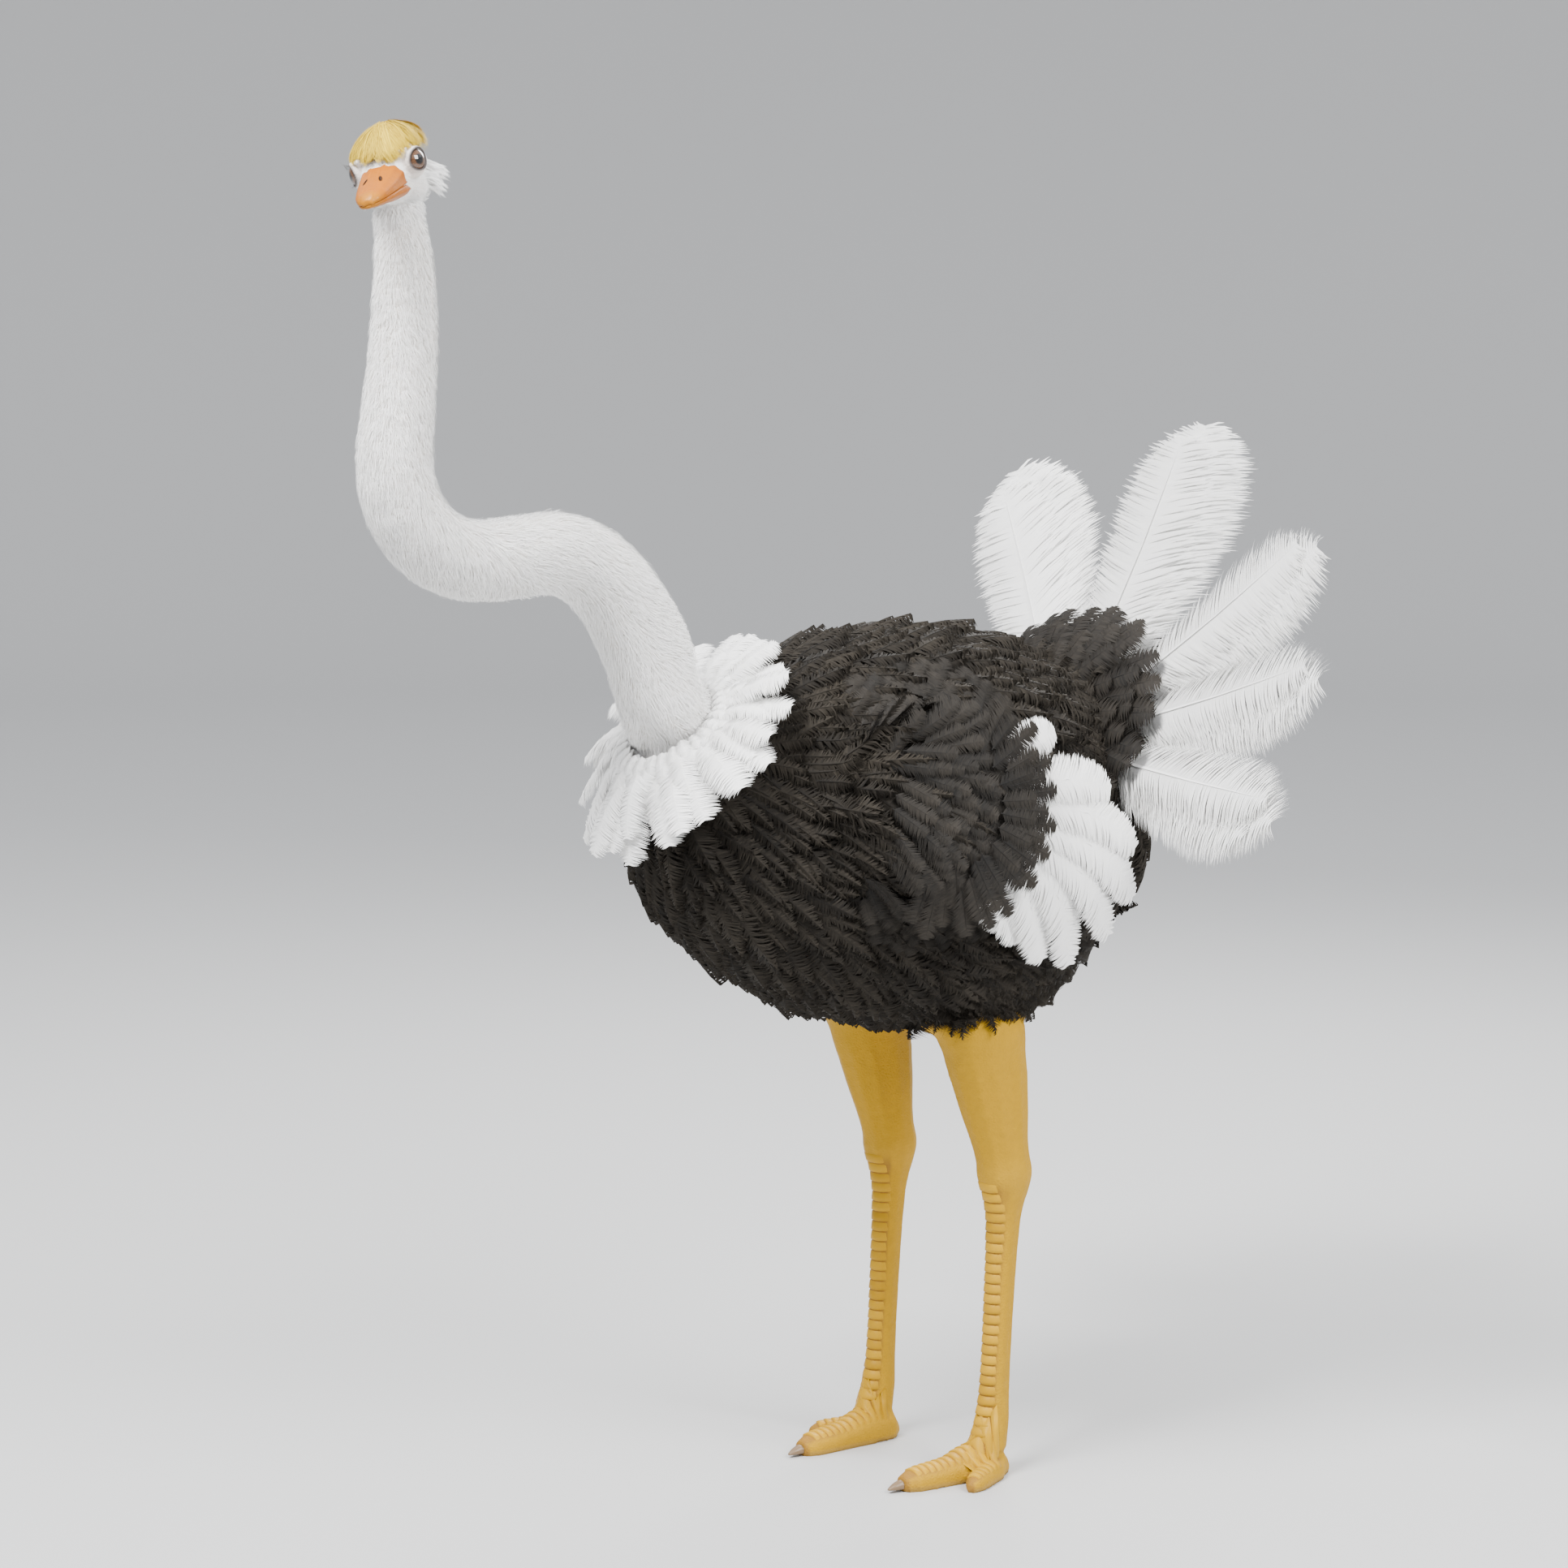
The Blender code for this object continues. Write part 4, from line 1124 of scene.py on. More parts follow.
def crown_coat(skin):
    """Straw-coloured, hair-like feathers that fall all round from the top and end in a ragged fringe."""
    count = CROWN_LOCKS
    bearing = math.tau * (np.arange(count) + RANDOM.random(count)) / count
    clump = (np.floor(bearing / math.tau * CROWN_CLUMPS) + 0.5) / CROWN_CLUMPS * math.tau
    clump += 0.12 * np.sin(7.3 * clump)
    off = bearing - clump
    start = 0.02 + 1.05 * RANDOM.random(count) ** 0.9
    hem = 1.33 + 0.10 * np.cos(bearing) + 0.12 * np.sin(clump * 5.1) + 0.07 * RANDOM.normal(size=count)
    hem -= 0.9 * np.abs(off) ** 1.5
    start = np.minimum(start, hem - 0.45)
    share = np.linspace(0, 1, 8)
    polar = start[:, None] + (hem - start)[:, None] * share
    turn = bearing[:, None] - 0.60 * off[:, None] * share**1.5
    turn = turn + (0.16 * np.sin(3 * bearing) + 0.10 * RANDOM.normal(size=count))[:, None] * share
    loose = 0.05 * np.abs(RANDOM.normal(size=count))[:, None]
    reach = 0.86 + 0.09 * RANDOM.random(count)[:, None] + 0.06 * share**2 + loose * share * (1.4 - share)
    around = np.stack([np.sin(polar) * np.sin(turn), -np.sin(polar) * np.cos(turn), np.cos(polar)], 2)
    local = CROWN_CENTRE + CROWN_SIZE * around * reach[:, :, None]
    local += np.array([0, 0.012, 0.0]) * (1 - np.sin(polar))[:, :, None]
    outward = unit(around / CROWN_SIZE)
    points = apply(FROM_HEAD, local)
    normals = outward @ FROM_HEAD[:3, :3].T
    templates = kinds(lock, 110, 8, 11, 6, gather=0.45, ragged=0.10, breadth=0.072)
    return coat("crown_feathers", (points, normals), templates, np.full(count, 0.0066), STRAW, skin)


# Rings of the ruff: (feathers, shift round the neck, length as a share, half width, how far it stands proud)
RUFF_RINGS = (
    (13, 0.5, 1.00, 0.036, 0.004),
    (13, 0.0, 0.92, 0.034, -0.004),
    (18, 0.3, 0.74, 0.027, 0.012),
    (24, 0.1, 0.52, 0.021, 0.018),
    (30, 0.6, 0.36, 0.016, 0.024),
)
RUFF_HOLE = 0.072


def ruff_coat(skin):
    """The white collar: broad round feathers in five rings round the foot of the neck."""
    front = unit(np.cross(LEFT, RUFF_AXIS))
    front = front if front[1] < 0 else -front
    points, normals, widths = [], [], []
    share = np.linspace(0, 1, 7)[:, None]
    for count, shift, size, width, proud_by in RUFF_RINGS:
        for i in range(count):
            turn = math.tau * (i + shift + 0.12 * RANDOM.normal()) / count
            frontness = (1 + math.cos(turn)) / 2
            outward = front * math.cos(turn) + LEFT * math.sin(turn)
            slope = math.radians(-24 + 50 * frontness + 4 * RANDOM.normal())
            along = outward * math.cos(slope) - RUFF_AXIS * math.sin(slope)
            proud = outward * math.sin(slope) + RUFF_AXIS * math.cos(slope)
            reach = (0.125 + 0.035 * frontness) * size * (1 + 0.05 * RANDOM.normal()) + 0.012
            bow = 0.016 * np.sin(math.pi * share) + 0.012 - 0.014 * share**2 + proud_by * (1 - share)
            points.append(RUFF_CENTRE + outward * RUFF_HOLE + along * reach * share + proud * bow)
            normals.append(np.repeat((proud - along * 0.1)[None], 7, 0))
            widths.append(width * (1 + 0.06 * RANDOM.normal()))
    looks = dict(sweep=0.26, start=0.0, ragged=0.09, camber=0.18, curl=0.12, layers=2)
    templates = kinds(vane, 130, 5, 72, petal, **looks)
    return coat("ruff_feathers", (points, normals), templates, widths, PLUME_WHITE, skin)


COVERT_FOCUS = (-0.19, 0.11)  # where the coverts fan out from: back and up from the disc's middle


def wing_coverts(skin, sign, side):
    """Black scalloped coverts that fan over the folded wing from its shoulder."""
    keep = on_wing(skin.centres, sign, 0.96, front=-0.105, deepest=-0.15) & (skin.centres[:, 2] > 0.9)
    roots, normals, _ = skin.scatter(keep, spacing=0.0168)
    count = len(roots)
    x, y, _ = wing_place(roots, sign, WING_CENTRE, WING_LEAN)
    fan = unit(np.stack([x - COVERT_FOCUS[0], y - COVERT_FOCUS[1]], 1))
    fan[:, 1] += 1.1 * ramp(y, 0.07, 0.13)
    fan = unit(fan)
    flow = along_skin(fan @ wing_axes(sign, WING_LEAN)[:2], normals)
    flow = turned(flow, normals, 0.10 * RANDOM.normal(size=count))
    room = WING_RADIUS * 1.05 - np.hypot(x + fan[:, 0] * 0.03, y + fan[:, 1] * 0.03)
    length = (np.clip(room, 0.040, 0.078) + 0.008) * (1 + 0.08 * RANDOM.normal(size=count))
    base = -0.017 + 0.004 * RANDOM.random(count)
    tip = -0.001 + 0.006 * RANDOM.random(count)
    laid = lay(wing_drape(side), roots, flow, length, lambda t: base + (tip - base) * t, cling=0.8)
    rim = covert_rim(sign)
    ribbons = [np.concatenate(pair) for pair in zip(laid, rim)]
    widths = np.concatenate([0.0155 + 0.003 * RANDOM.random(count), np.full(len(rim[0]), 0.023)])
    templates = kinds(vane, 150, 5, 44, covert, ragged=0.11, camber=0.10, overlap=1.4)
    return coat("wing_coverts_" + side, ribbons, templates, widths, BLACK_VANE, skin)


def wing_drape(side):
    """The smooth surface one wing's coverts lie on: the solid wing blended into the trunk."""
    points, faces = wrapped([cad("trunk"), cad("wing_" + side)], DRAPE_VOXEL)
    return tree_of((averaged(points, edges_of(faces), 26), faces))


# Rows of the covert disc's rim: (where their roots are from its middle, how far they stand proud)
RIM_ROWS = ((0.136, 0.031), (0.120, 0.034), (0.100, 0.036))


def covert_rim(sign):
    """Ribbons of the three outermost rows of coverts, whose round tips lie over the flight plumes."""
    axes = wing_axes(sign, WING_LEAN)
    points, normals = [], []
    share = np.linspace(0, 1, 6)
    for row, (reach, proud) in enumerate(RIM_ROWS):
        for i in range(12):
            degrees = 58 - 164 * (i + 0.5 * (row % 2)) / 11.5 + 2 * RANDOM.normal()
            flat = axes[0] * math.cos(math.radians(degrees)) + axes[1] * math.sin(math.radians(degrees))
            out = reach + (0.080 - 0.004 * row) * share
            hug = ramp(abs(degrees + 20), 48, 80)
            height = proud - 0.004 * share - 0.030 * hug * (0.35 + 0.65 * share)
            points.append(mirror(WING_CENTRE, sign) + flat * out[:, None] + axes[2] * height[:, None])
            normals.append(np.repeat(unit(axes[2] + 0.25 * flat)[None], 6, 0))
    return np.array(points), np.array(normals)


def mirror(point, sign):
    """A point of the left side, or the same point on the right side where sign is -1."""
    return np.array([MIDDLE_X + sign * (point[0] - MIDDLE_X), point[1], point[2]])


def flight_plumes(skin, sign, side):
    """White flight plumes that sweep back and down from under the coverts."""
    axes = wing_axes(sign, FLIGHT_LEAN)
    share = np.linspace(0, 1, 9)
    points, normals, widths = [], [], []
    plumes = [(angle, length, 0.043, 0.010) for angle, length in FLIGHT_PLUMES]
    plumes += [(angle - 6, length * 0.84, 0.038, 0.003) for angle, length in FLIGHT_PLUMES[1:]]
    for i, (degrees, length, width, proud) in enumerate(plumes):
        swept_up = math.radians(26) * float(ramp(degrees, -45, -80))
        angle = math.radians(degrees) + math.radians(16) * (1 - share) - math.radians(5) * share**3
        angle += swept_up * share**2
        reach = 0.05 + (length - 0.05) * share
        lift = proud - 0.0025 * (i % 8) + 0.016 * np.sin(math.pi * share * 0.8) - 0.014 * share**2
        lift -= 0.030 * ramp(-reach * np.sin(angle), 0.10, 0.28)
        flat = axes[0] * np.cos(angle)[:, None] + axes[1] * np.sin(angle)[:, None]
        points.append(mirror(FLIGHT_ROOT, sign) + flat * reach[:, None] + axes[2] * lift[:, None])
        normals.append(np.repeat(unit(axes[2] + 0.22 * axes[1])[None], 9, 0))
        widths.append(width * (0.8 if length < 0.25 else 1))
    looks = dict(rows=4, sweep=0.30, ragged=0.05, camber=0.14, curl=0.10, layers=2)
    templates = kinds(vane, 170, 4, 84, petal, **looks)
    return coat("wing_plumes_" + side, (points, normals), templates, widths, PLUME_WHITE, skin)


TAIL_AXIS = np.array([0, math.cos(TAIL_TILT), math.sin(TAIL_TILT)])
TAIL_FACE = np.cross(TAIL_AXIS, LEFT)
# Blades of a tail plume: (how far proud, turn in degrees, length and breadth as shares)
TAIL_BLADES = ((0.000, 0.0, 1.00, 1.00), (0.011, 3.5, 0.93, 0.88), (-0.011, -3.0, 0.95, 0.90))


def tail_plumes(skin):
    """Great white tail plumes: each a broad soft blade with two more close under it."""
    points, normals, widths = [], [], []
    share = np.linspace(0, 1, 11)[:, None]
    for bearing, reach, half_width in TAIL_PLUMES:
        for proud, turn, size, breadth in TAIL_BLADES:
            angle = math.radians(bearing + turn)
            flat = TAIL_AXIS * math.cos(angle) + LEFT * math.sin(angle)
            along = 0.070 + (reach * size - 0.070) * share
            bow = proud * (1 - 0.5 * share) - 0.045 * share**2
            points.append(TAIL_ROOT + flat * along + TAIL_FACE * bow)
            normals.append(np.repeat(-TAIL_FACE[None], len(share), 0) + flat * -0.15)
            widths.append(half_width * breadth)
    looks = dict(rows=4, sweep=0.24, ragged=0.05, camber=0.12, curl=0.07, layers=2, overlap=1.7)
    templates = kinds(vane, 190, 4, 150, broad, **looks)
    return coat("tail_plumes", (points, normals), templates, widths, PLUME_WHITE, skin)


# Rows of coverts on each face of the tail's root: (where they start, length)
TAIL_COVERT_ROWS = ((0.030, 0.085), (0.060, 0.090), (0.092, 0.092), (0.124, 0.092), (0.158, 0.094))


def tail_coverts(skin):
    """Black lobed coverts on both faces of the tail's root."""
    points, normals = [], []
    share = np.linspace(0, 1, 6)
    for face in (-1, 1):
        for row, (distance, length) in enumerate(TAIL_COVERT_ROWS):
            count = 8 + 4 * row
            for i in range(count):
                turn = math.radians(-128 + 256 * (i + 0.5 * (row % 2)) / (count - 0.5) + 3 * RANDOM.normal())
                flat = TAIL_AXIS * math.cos(turn) + LEFT * math.sin(turn)
                reach = distance + length * share * (1 + 0.06 * RANDOM.normal())
                dome = np.sqrt(np.clip(1 - (reach / 0.29) ** 2, 0.02, 1))
                height = (TAIL_THICKNESS + 0.012) * dome - 0.004 * row + 0.008 * share
                points.append(TAIL_ROOT + flat * reach[:, None] + TAIL_FACE * face * height[:, None])
                normals.append(np.repeat(unit(TAIL_FACE * face + flat * 0.35)[None], 6, 0))
    widths = 0.033 + 0.005 * RANDOM.random(len(points))
    templates = kinds(vane, 210, 5, 44, rounded, ragged=0.10, camber=0.14, curl=0.1, overlap=1.6)
    return coat("tail_coverts_feathers", (points, normals), templates, widths, BLACK_VANE, skin)


def lash(centre, axes, angle, length, upper):
    """Points and normals of one lash; angle is its place round the rim and upper is 1 or -1."""
    share = np.linspace(0, 1, 5)[:, None]
    outward, forward, upward = axes
    across = forward * math.cos(angle)
    rim = across * LID_HALF_WIDTH * 1.01 + upward * math.sin(angle) * LID_HALF_HEIGHT * 1.01
    height = math.sqrt(max((EYE_RADIUS + LID_THICKNESS) ** 2 - rim @ rim, 0))
    root = np.array(centre) + rim + outward * (height - 0.0004)
    splay = across * 0.55 + 0.05 * RANDOM.normal(size=3)
    way = unit(outward * 0.85 + splay - upward * 0.10 * upper)
    size = length * (0.8 + 0.3 * RANDOM.random())
    points = root + size * (way * share + upward * upper * 0.75 * share**2)
    return points, np.repeat(unit(upward * upper - way * 0.3)[None], 5, 0)


def lashes(skin):
    """Long black lashes on the upper lids and short ones below."""
    made = []
    for side, centre in EYE_CENTRES.items():
        axes = [np.array(HEAD.to_3x3() @ axis) for axis in lid_axes(side)]
        for upper, count, length in ((1, 34, 0.013), (-1, 18, 0.005)):
            for i in range(count):
                angle = math.pi * (0.06 + 0.88 * (i + 0.5) / count) * upper
                made.append(lash(centre, axes, angle, length, upper))
    templates = kinds(lock, 230, 3, 1, 4, gather=0, ragged=0.05, breadth=0.9)
    return coat("lashes", tuple(zip(*made)), templates, np.full(len(made), 0.00035), LASH, skin)


# ---------------------------------------------------------------- colours of the bare parts


SKIN_WHITE, SKIN_YELLOW, SKIN_BLACK = (0.80, 0.76, 0.71), (0.46, 0.25, 0.001), (0.020, 0.017, 0.014)
PAD, ANKLE_TINT, SCUTE_GAP = (0.40, 0.25, 0.07), (0.50, 0.28, 0.012), (0.27, 0.13, 0.02)
# The furrows' colour is a pink blush that is also darker than the skin: painted shade in the creases.
GAPE, FURROW_BLUSH_AND_SHADE = (0.60, 0.19, 0.02), (0.60, 0.45, 0.38)
# The lids' dark rim is partly their own dark margin and partly painted shade where the lid turns in to the
# eyeball.
LID, LID_RIM_AND_SHADE = (0.68, 0.60, 0.55), (0.10, 0.085, 0.08)
BILL_ROOT, BILL_MIDDLE, BILL_TIP = (0.38, 0.102, 0.001), (0.39, 0.112, 0.0006), (0.40, 0.145, 0.003)
# Colour of the nostrils' pits: painted shade inside the holes
NOSTRIL_PIT_SHADE = (0.030, 0.014, 0.008)
PUPIL, EYE_WHITE = (0.004, 0.004, 0.004), (0.60, 0.56, 0.52)
IRIS_LIGHT, IRIS_DARK, IRIS_RIM = (0.15, 0.062, 0.020), (0.070, 0.028, 0.010), (0.030, 0.014, 0.008)


def mix(a, b, share):
    """Colours a to b by share, one row per point."""
    share = np.asarray(share)[:, None]
    return np.asarray(a) * (1 - share) + np.asarray(b) * share


def skin_colours(points, normals):
    """Black under the body's coat, white under the neck's, bare round the eyes, yellow on the legs."""
    body = (points[:, 1] > -0.36) & (points[:, 2] > 0.70) & (points[:, 2] < 1.55)
    dark = in_trunk(points, body, 0.004)
    dark |= (points[:, 1] > -0.10) & (points[:, 2] > 0.80)
    dark &= np.linalg.norm(points - RUFF_CENTRE, axis=1) >= 0.130
    dark &= (from_leg(points) >= 0.12) | (points[:, 2] >= 0.768)
    leg = (points[:, 2] < 0.80) & ~dark
    colour = np.repeat(np.array(SKIN_WHITE)[None], len(points), 0)
    colour[leg] = SKIN_YELLOW
    colour[dark] = SKIN_BLACK
    colour = leg_colours(colour, points[:, 2], normals, leg)
    return face_colours(colour, points)


def leg_colours(colour, height, normals, leg):
    """Darker pads, ankles and gaps between the scutes on the skin of the legs."""
    colour = mix(colour, PAD, 0.7 * ramp(height, 0.012, 0.002) * leg)
    colour = mix(colour, ANKLE_TINT, 0.5 * hump(height, 0.50, 0.03) * leg)
    shank = leg * ramp(height, 0.50, 0.47) * ramp(normals[:, 1], -0.35, -0.60)
    toe_top = leg * ramp(height, 0.075, 0.060) * ramp(normals[:, 2], 0.55, 0.80)
    return mix(colour, SCUTE_GAP, 0.8 * np.maximum(shank, toe_top))


def face_colours(colour, points):
    """Bare orange skin at the bill, grey skin round the eyes with dark lid rims that are partly painted shade
    where the lids turn in to the eyeball, and a pink blush in the furrows that is partly painted shade in the
    creases.
    """
    face = (points[:, 2] > NECK_JOINT - 0.03) * 1.0
    bare = face * ramp(apply(TO_HEAD, points)[:, 1], -0.057, -0.064)
    colour = mix(colour, GAPE, 0.9 * bare)
    for side, _ in SIDES:
        reach, _ = lid_reach(points, side)
        colour = mix(colour, LID, 0.8 * face * ramp(reach, 1.95, 1.35))
        # dark lid rim: partly the lid's own dark margin, partly painted shade next to the eyeball
        colour = mix(colour, LID_RIM_AND_SHADE, face * ramp(reach, 1.22, 1.08))
    # pink blush in the furrows, darker than the skin as painted shade in the creases
    return mix(colour, FURROW_BLUSH_AND_SHADE, 0.3 * face * np.clip(furrow_depth(points) / 0.0016, 0, 1))


# ---------------------------------------------------------------- scales, bill, claws and eyes


# Rows of a scale from its upper edge: (place along it, height over the skin)
PLATE_ROWS = ((-1.0, -0.0006), (-0.80, 0.0013), (0.2, 0.0021), (0.80, 0.0024), (0.96, -0.0006))
PLATE_COLUMNS = 9


def plate(tree, centre, out, side, along, half_width, half_length):
    """The points of a curved scale over the skin, or None where the skin isn't met."""
    points = []
    for shift, height in PLATE_ROWS:
        for i in range(PLATE_COLUMNS):
            across = 2 * i / (PLATE_COLUMNS - 1) - 1
            way = Vector(out * math.cos(half_width * across) + side * math.sin(half_width * across))
            edge = abs(across)
            start = Vector(centre + along * half_length * shift * (1 - 0.12 * edge**2))
            hit, normal, _, _ = tree.ray_cast(start + way * 0.12, -way, 0.14)
            if hit is None:
                return None
            spot = hit + normal * (height * (1 - 0.6 * edge**6) - 0.0018 * (edge > 0.99))
            points.append((spot.x, spot.y, max(spot.z, 0.0)))
    return np.array(points)


def plate_faces():
    """The triangles of one scale."""
    rows = range(len(PLATE_ROWS) - 1)
    corners = [row * PLATE_COLUMNS + i for row in rows for i in range(PLATE_COLUMNS - 1)]
    below = PLATE_COLUMNS
    pairs = [((a, a + 1, a + below + 1), (a, a + below + 1, a + below)) for a in corners]
    return np.array(pairs).reshape(-1, 3)


def spine_of(name, level):
    """Middle of a standing node at a level."""
    points = cad(name)[0]
    weight = hump(points[:, 2], level, 0.03)
    middle = (points * weight[:, None]).sum(0) / weight.sum()
    return np.array([middle[0], middle[1], level])


def shin_scales(tree, side):
    """The scutes down the front of a shank."""
    made = []
    level = 0.485
    while level > 0.075:
        half_width = 1.05 + 0.07 * math.sin(level * 410) - 0.30 * float(ramp(level, 0.44, 0.485))
        middle = spine_of("shank_" + side, level)
        made.append(plate(tree, middle, -BACK, LEFT, DOWN, half_width, half_length=0.0082))
        level -= 0.0170
    return made


def toe_scales(tree, side, toe, first):
    """The scutes along the top of a toe, from a distance ahead of its heel."""
    made = []
    heel, way, long = toe_line(f"{toe}_{side}")
    at = first
    while at < long - 0.018:
        centre = heel + way * at
        centre[2] = 0.010
        made.append(plate(tree, centre, UP, np.cross(UP, way), way, half_width=0.95, half_length=0.0062))
        at += 0.0132
    return made


def leg_scales(skin):
    """Broad overlapping scutes down the front of each shank and along the tops of the toes."""
    plates = []
    for side in ("left", "right"):
        tree = tree_of(leg_surface(skin, side))
        plates += shin_scales(tree, side)
        plates += toe_scales(tree, side, "toe_main", 0.045) + toe_scales(tree, side, "toe_side", 0.035)
    plates = [points for points in plates if points is not None]
    points, faces = joined([(points, plate_faces()) for points in plates])
    columns, rows = np.linspace(-1, 1, PLATE_COLUMNS), np.linspace(-1, 1, len(PLATE_ROWS))
    patch = np.stack(np.meshgrid(columns, rows), 2).reshape(-1, 2) * PATCH / 2
    middle = len(patch) // 2
    spots = np.concatenate([skin.unwrap(points[middle : middle + 1]) for points in plates])
    uv = np.clip(spots[:, None] + patch, 0.0005, 0.9995).reshape(-1, 2)
    tone = np.repeat([RANDOM.random() for _ in plates], len(patch))
    return [array_mesh("leg_scutes", points, faces, SCALE, uv, tone)]


def leg_surface(skin, side):
    """The skin's faces on one leg."""
    own = (skin.centres[:, 0] > MIDDLE_X) == (side == "left")
    return skin.points, skin.faces[own & (skin.centres[:, 2] < 0.6)]


def toe_line(name):
    """Heel point, forward direction and length of a toe on the floor."""
    flat = cad(name)[0][:, :2]
    middle = flat.mean(0)
    _, _, axes = np.linalg.svd(flat - middle, full_matrices=False)
    way = axes[0] if axes[0][1] < 0 else -axes[0]
    run = (flat - middle) @ way
    start = middle + way * run.min()
    return np.array([start[0], start[1], 0.0]), np.array([way[0], way[1], 0.0]), run.max() - run.min()


# The left nostril's place in the head's axes, and its half sizes
NOSTRIL_PLACE = (0.0120, -0.104, 0.0015)
NOSTRIL_SIZE = np.array([0.0024, 0.0078, 0.0042])


def bill_push(name, points):
    """How far the bill's grooves and the nail at its tip press its surface in or out."""
    local = left_half(points)
    x, y = local[:, 0], local[:, 1]
    if name == "bill_lower":
        return -0.0005 * hump(x, 0.010, 0.0016) * ramp(y, -0.150, -0.140)
    ridge = 0.0075 - 0.02 * (y + 0.13)
    push = -0.0008 * hump(x, ridge, 0.0016) * ramp(y, -0.150, -0.140) * ramp(y, -0.066, -0.080)
    nail = ramp(y, -0.138, -0.146) * ramp(x, 0.011, 0.008)
    return push + 0.0009 * nail


def bill_colours(points, nostrils):
    """Orange, deeper at the base, with painted shade dark in and just round the nostrils' pits."""
    along = apply(TO_HEAD, points)[:, 1]
    colour = mix(BILL_MIDDLE, BILL_TIP, ramp(along, -0.135, -0.158))
    colour = mix(colour, BILL_ROOT, ramp(along, -0.085, -0.055))
    for axes in nostrils:
        away = np.linalg.norm(apply(np.array(axes.inverted()), points) / NOSTRIL_SIZE, axis=1)
        # painted shade: dark inside each nostril's pit and just round it
        colour = mix(colour, NOSTRIL_PIT_SHADE, 0.95 * ramp(away, 1.35, 1.04))
    return colour


def bill_half(name, core, nostrils=()):
    """A smooth half of the bill with its core, grooves and nail; nostrils has the axes of their pits."""
    points, faces = wrapped([cad(name), core], BILL_VOXEL)
    points = smoothed(points, edges_of(faces), 60)
    push = bill_push(name, points)
    mesh = mesh_from(points + normals_of(points, faces) * push[:, None], faces, name)
    if nostrils:
        mesh = cut_away(mesh, [ball(Vector((0, 0, 0)), NOSTRIL_SIZE, axes, 20) for axes in nostrils])
    paint(mesh, bill_colours(arrays_of(mesh)[0], nostrils))
    mesh.shade_smooth()
    return object_of(name + "_horn", mesh, BILL)


def bill():
    """Both halves of the bill; a core of each reaches back into the head."""
    nostrils = []
    for spot in both_sides(*NOSTRIL_PLACE):
        turn = Matrix.Rotation(math.copysign(0.22, spot.x), 4, "Z") @ Matrix.Rotation(0.30, 4, "X")
        nostrils.append(HEAD @ Matrix.Translation(spot) @ turn)
    upper = bill_half("bill_upper", ball(Vector((0, -0.062, -0.010)), (0.027, 0.030, 0.013)), nostrils)
    lower = bill_half("bill_lower", ball(Vector((0, -0.058, -0.030)), (0.026, 0.030, 0.007)))
    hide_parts("bill_upper")
    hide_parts("bill_lower")
    return [upper, lower]


def eyes():
    """Wet brown eyes with a round black pupil; the eye's own axes carry its colours."""
    made = []
    for side, word in SIDES:
        gaze = (HEAD.to_3x3() @ Vector((side * 0.86, -0.51, 0.02))).normalized()
        turn = gaze.to_track_quat("Z", "Y").to_matrix().to_4x4()
        bm = bmesh.new()
        bmesh.ops.create_uvsphere(bm, u_segments=64, v_segments=48, radius=1)
        for vert in bm.verts:
            swell = 1 + 0.045 * max(0.0, (vert.co.z - 0.78) / 0.22) ** 1.2
            vert.co *= EYE_RADIUS * swell * 0.985
        mesh = bpy.data.meshes.new("eye_" + word)
        bm.to_mesh(mesh)
        bm.free()
        mesh.shade_smooth()
        paint_eye(mesh)
        eye = object_of("eyeball_" + word, mesh, EYE)
        eye.matrix_world = Matrix.Translation(EYE_CENTRES[side]) @ turn
        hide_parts("eye_" + word)
        made.append(eye)
    return made


def paint_eye(mesh):
    """Pupil, streaked iris with a dark rim, and the little white that shows."""
    points, _ = arrays_of(mesh)
    way = unit(points)
    off = np.arccos(np.clip(way[:, 2], -1, 1))
    turn = np.arctan2(way[:, 1], way[:, 0])
    streak = 0.5 + 0.5 * np.sin(turn * 46 + 3 * np.sin(turn * 9))
    colour = mix(IRIS_LIGHT, IRIS_DARK, streak)
    colour = mix(colour, IRIS_RIM, ramp(off, 0.50, 0.66))
    colour = mix(colour, EYE_WHITE, ramp(off, 0.70, 0.74))
    colour = mix(PUPIL, colour, ramp(off, 0.30, 0.335))
    paint(mesh, colour)


def claws():
    """A smooth horn claw on the larger toe of each foot."""
    made = []
    for side in ("left", "right"):
        points, faces = wrapped([cad("claw_" + side)], CLAW_VOXEL)
        points = smoothed(points, edges_of(faces), 10)
        points[:, 2] = np.maximum(points[:, 2], 0)
        claw = array_mesh("claw_horn_" + side, points, faces, CLAW)
        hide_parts("claw_" + side)
        made.append(claw)
    return made


# ---------------------------------------------------------------- materials


def new_material(name, roughness, specular=0.5, coat_weight=0.0):
    """(material, its node tree, its shader)."""
    material = bpy.data.materials.new(name)
    material.use_nodes = True
    shader = material.node_tree.nodes["Principled BSDF"]
    shader.inputs["Roughness"].default_value = roughness
    shader.inputs["Specular IOR Level"].default_value = specular
    shader.inputs["Coat Weight"].default_value = coat_weight
    shader.inputs["Coat Roughness"].default_value = 0.03
    return material, material.node_tree, shader


def feather_material(name, dark, light, roughness, specular=0.3):
    """Colour runs from dark to light by the tone attribute; on feathers that is each barb's random tone with
    painted shade towards the root.
    """
    material, tree, shader = new_material(name, roughness, specular)
    tone = tree.nodes.new("ShaderNodeAttribute")
    tone.attribute_name = "tone"
    colours = tree.nodes.new("ShaderNodeValToRGB")
    colours.color_ramp.elements[0].color = (*dark, 1)
    colours.color_ramp.elements[1].color = (*light, 1)
    tree.links.new(tone.outputs["Fac"], colours.inputs["Fac"])
    tree.links.new(colours.outputs["Color"], shader.inputs["Base Color"])
    return material


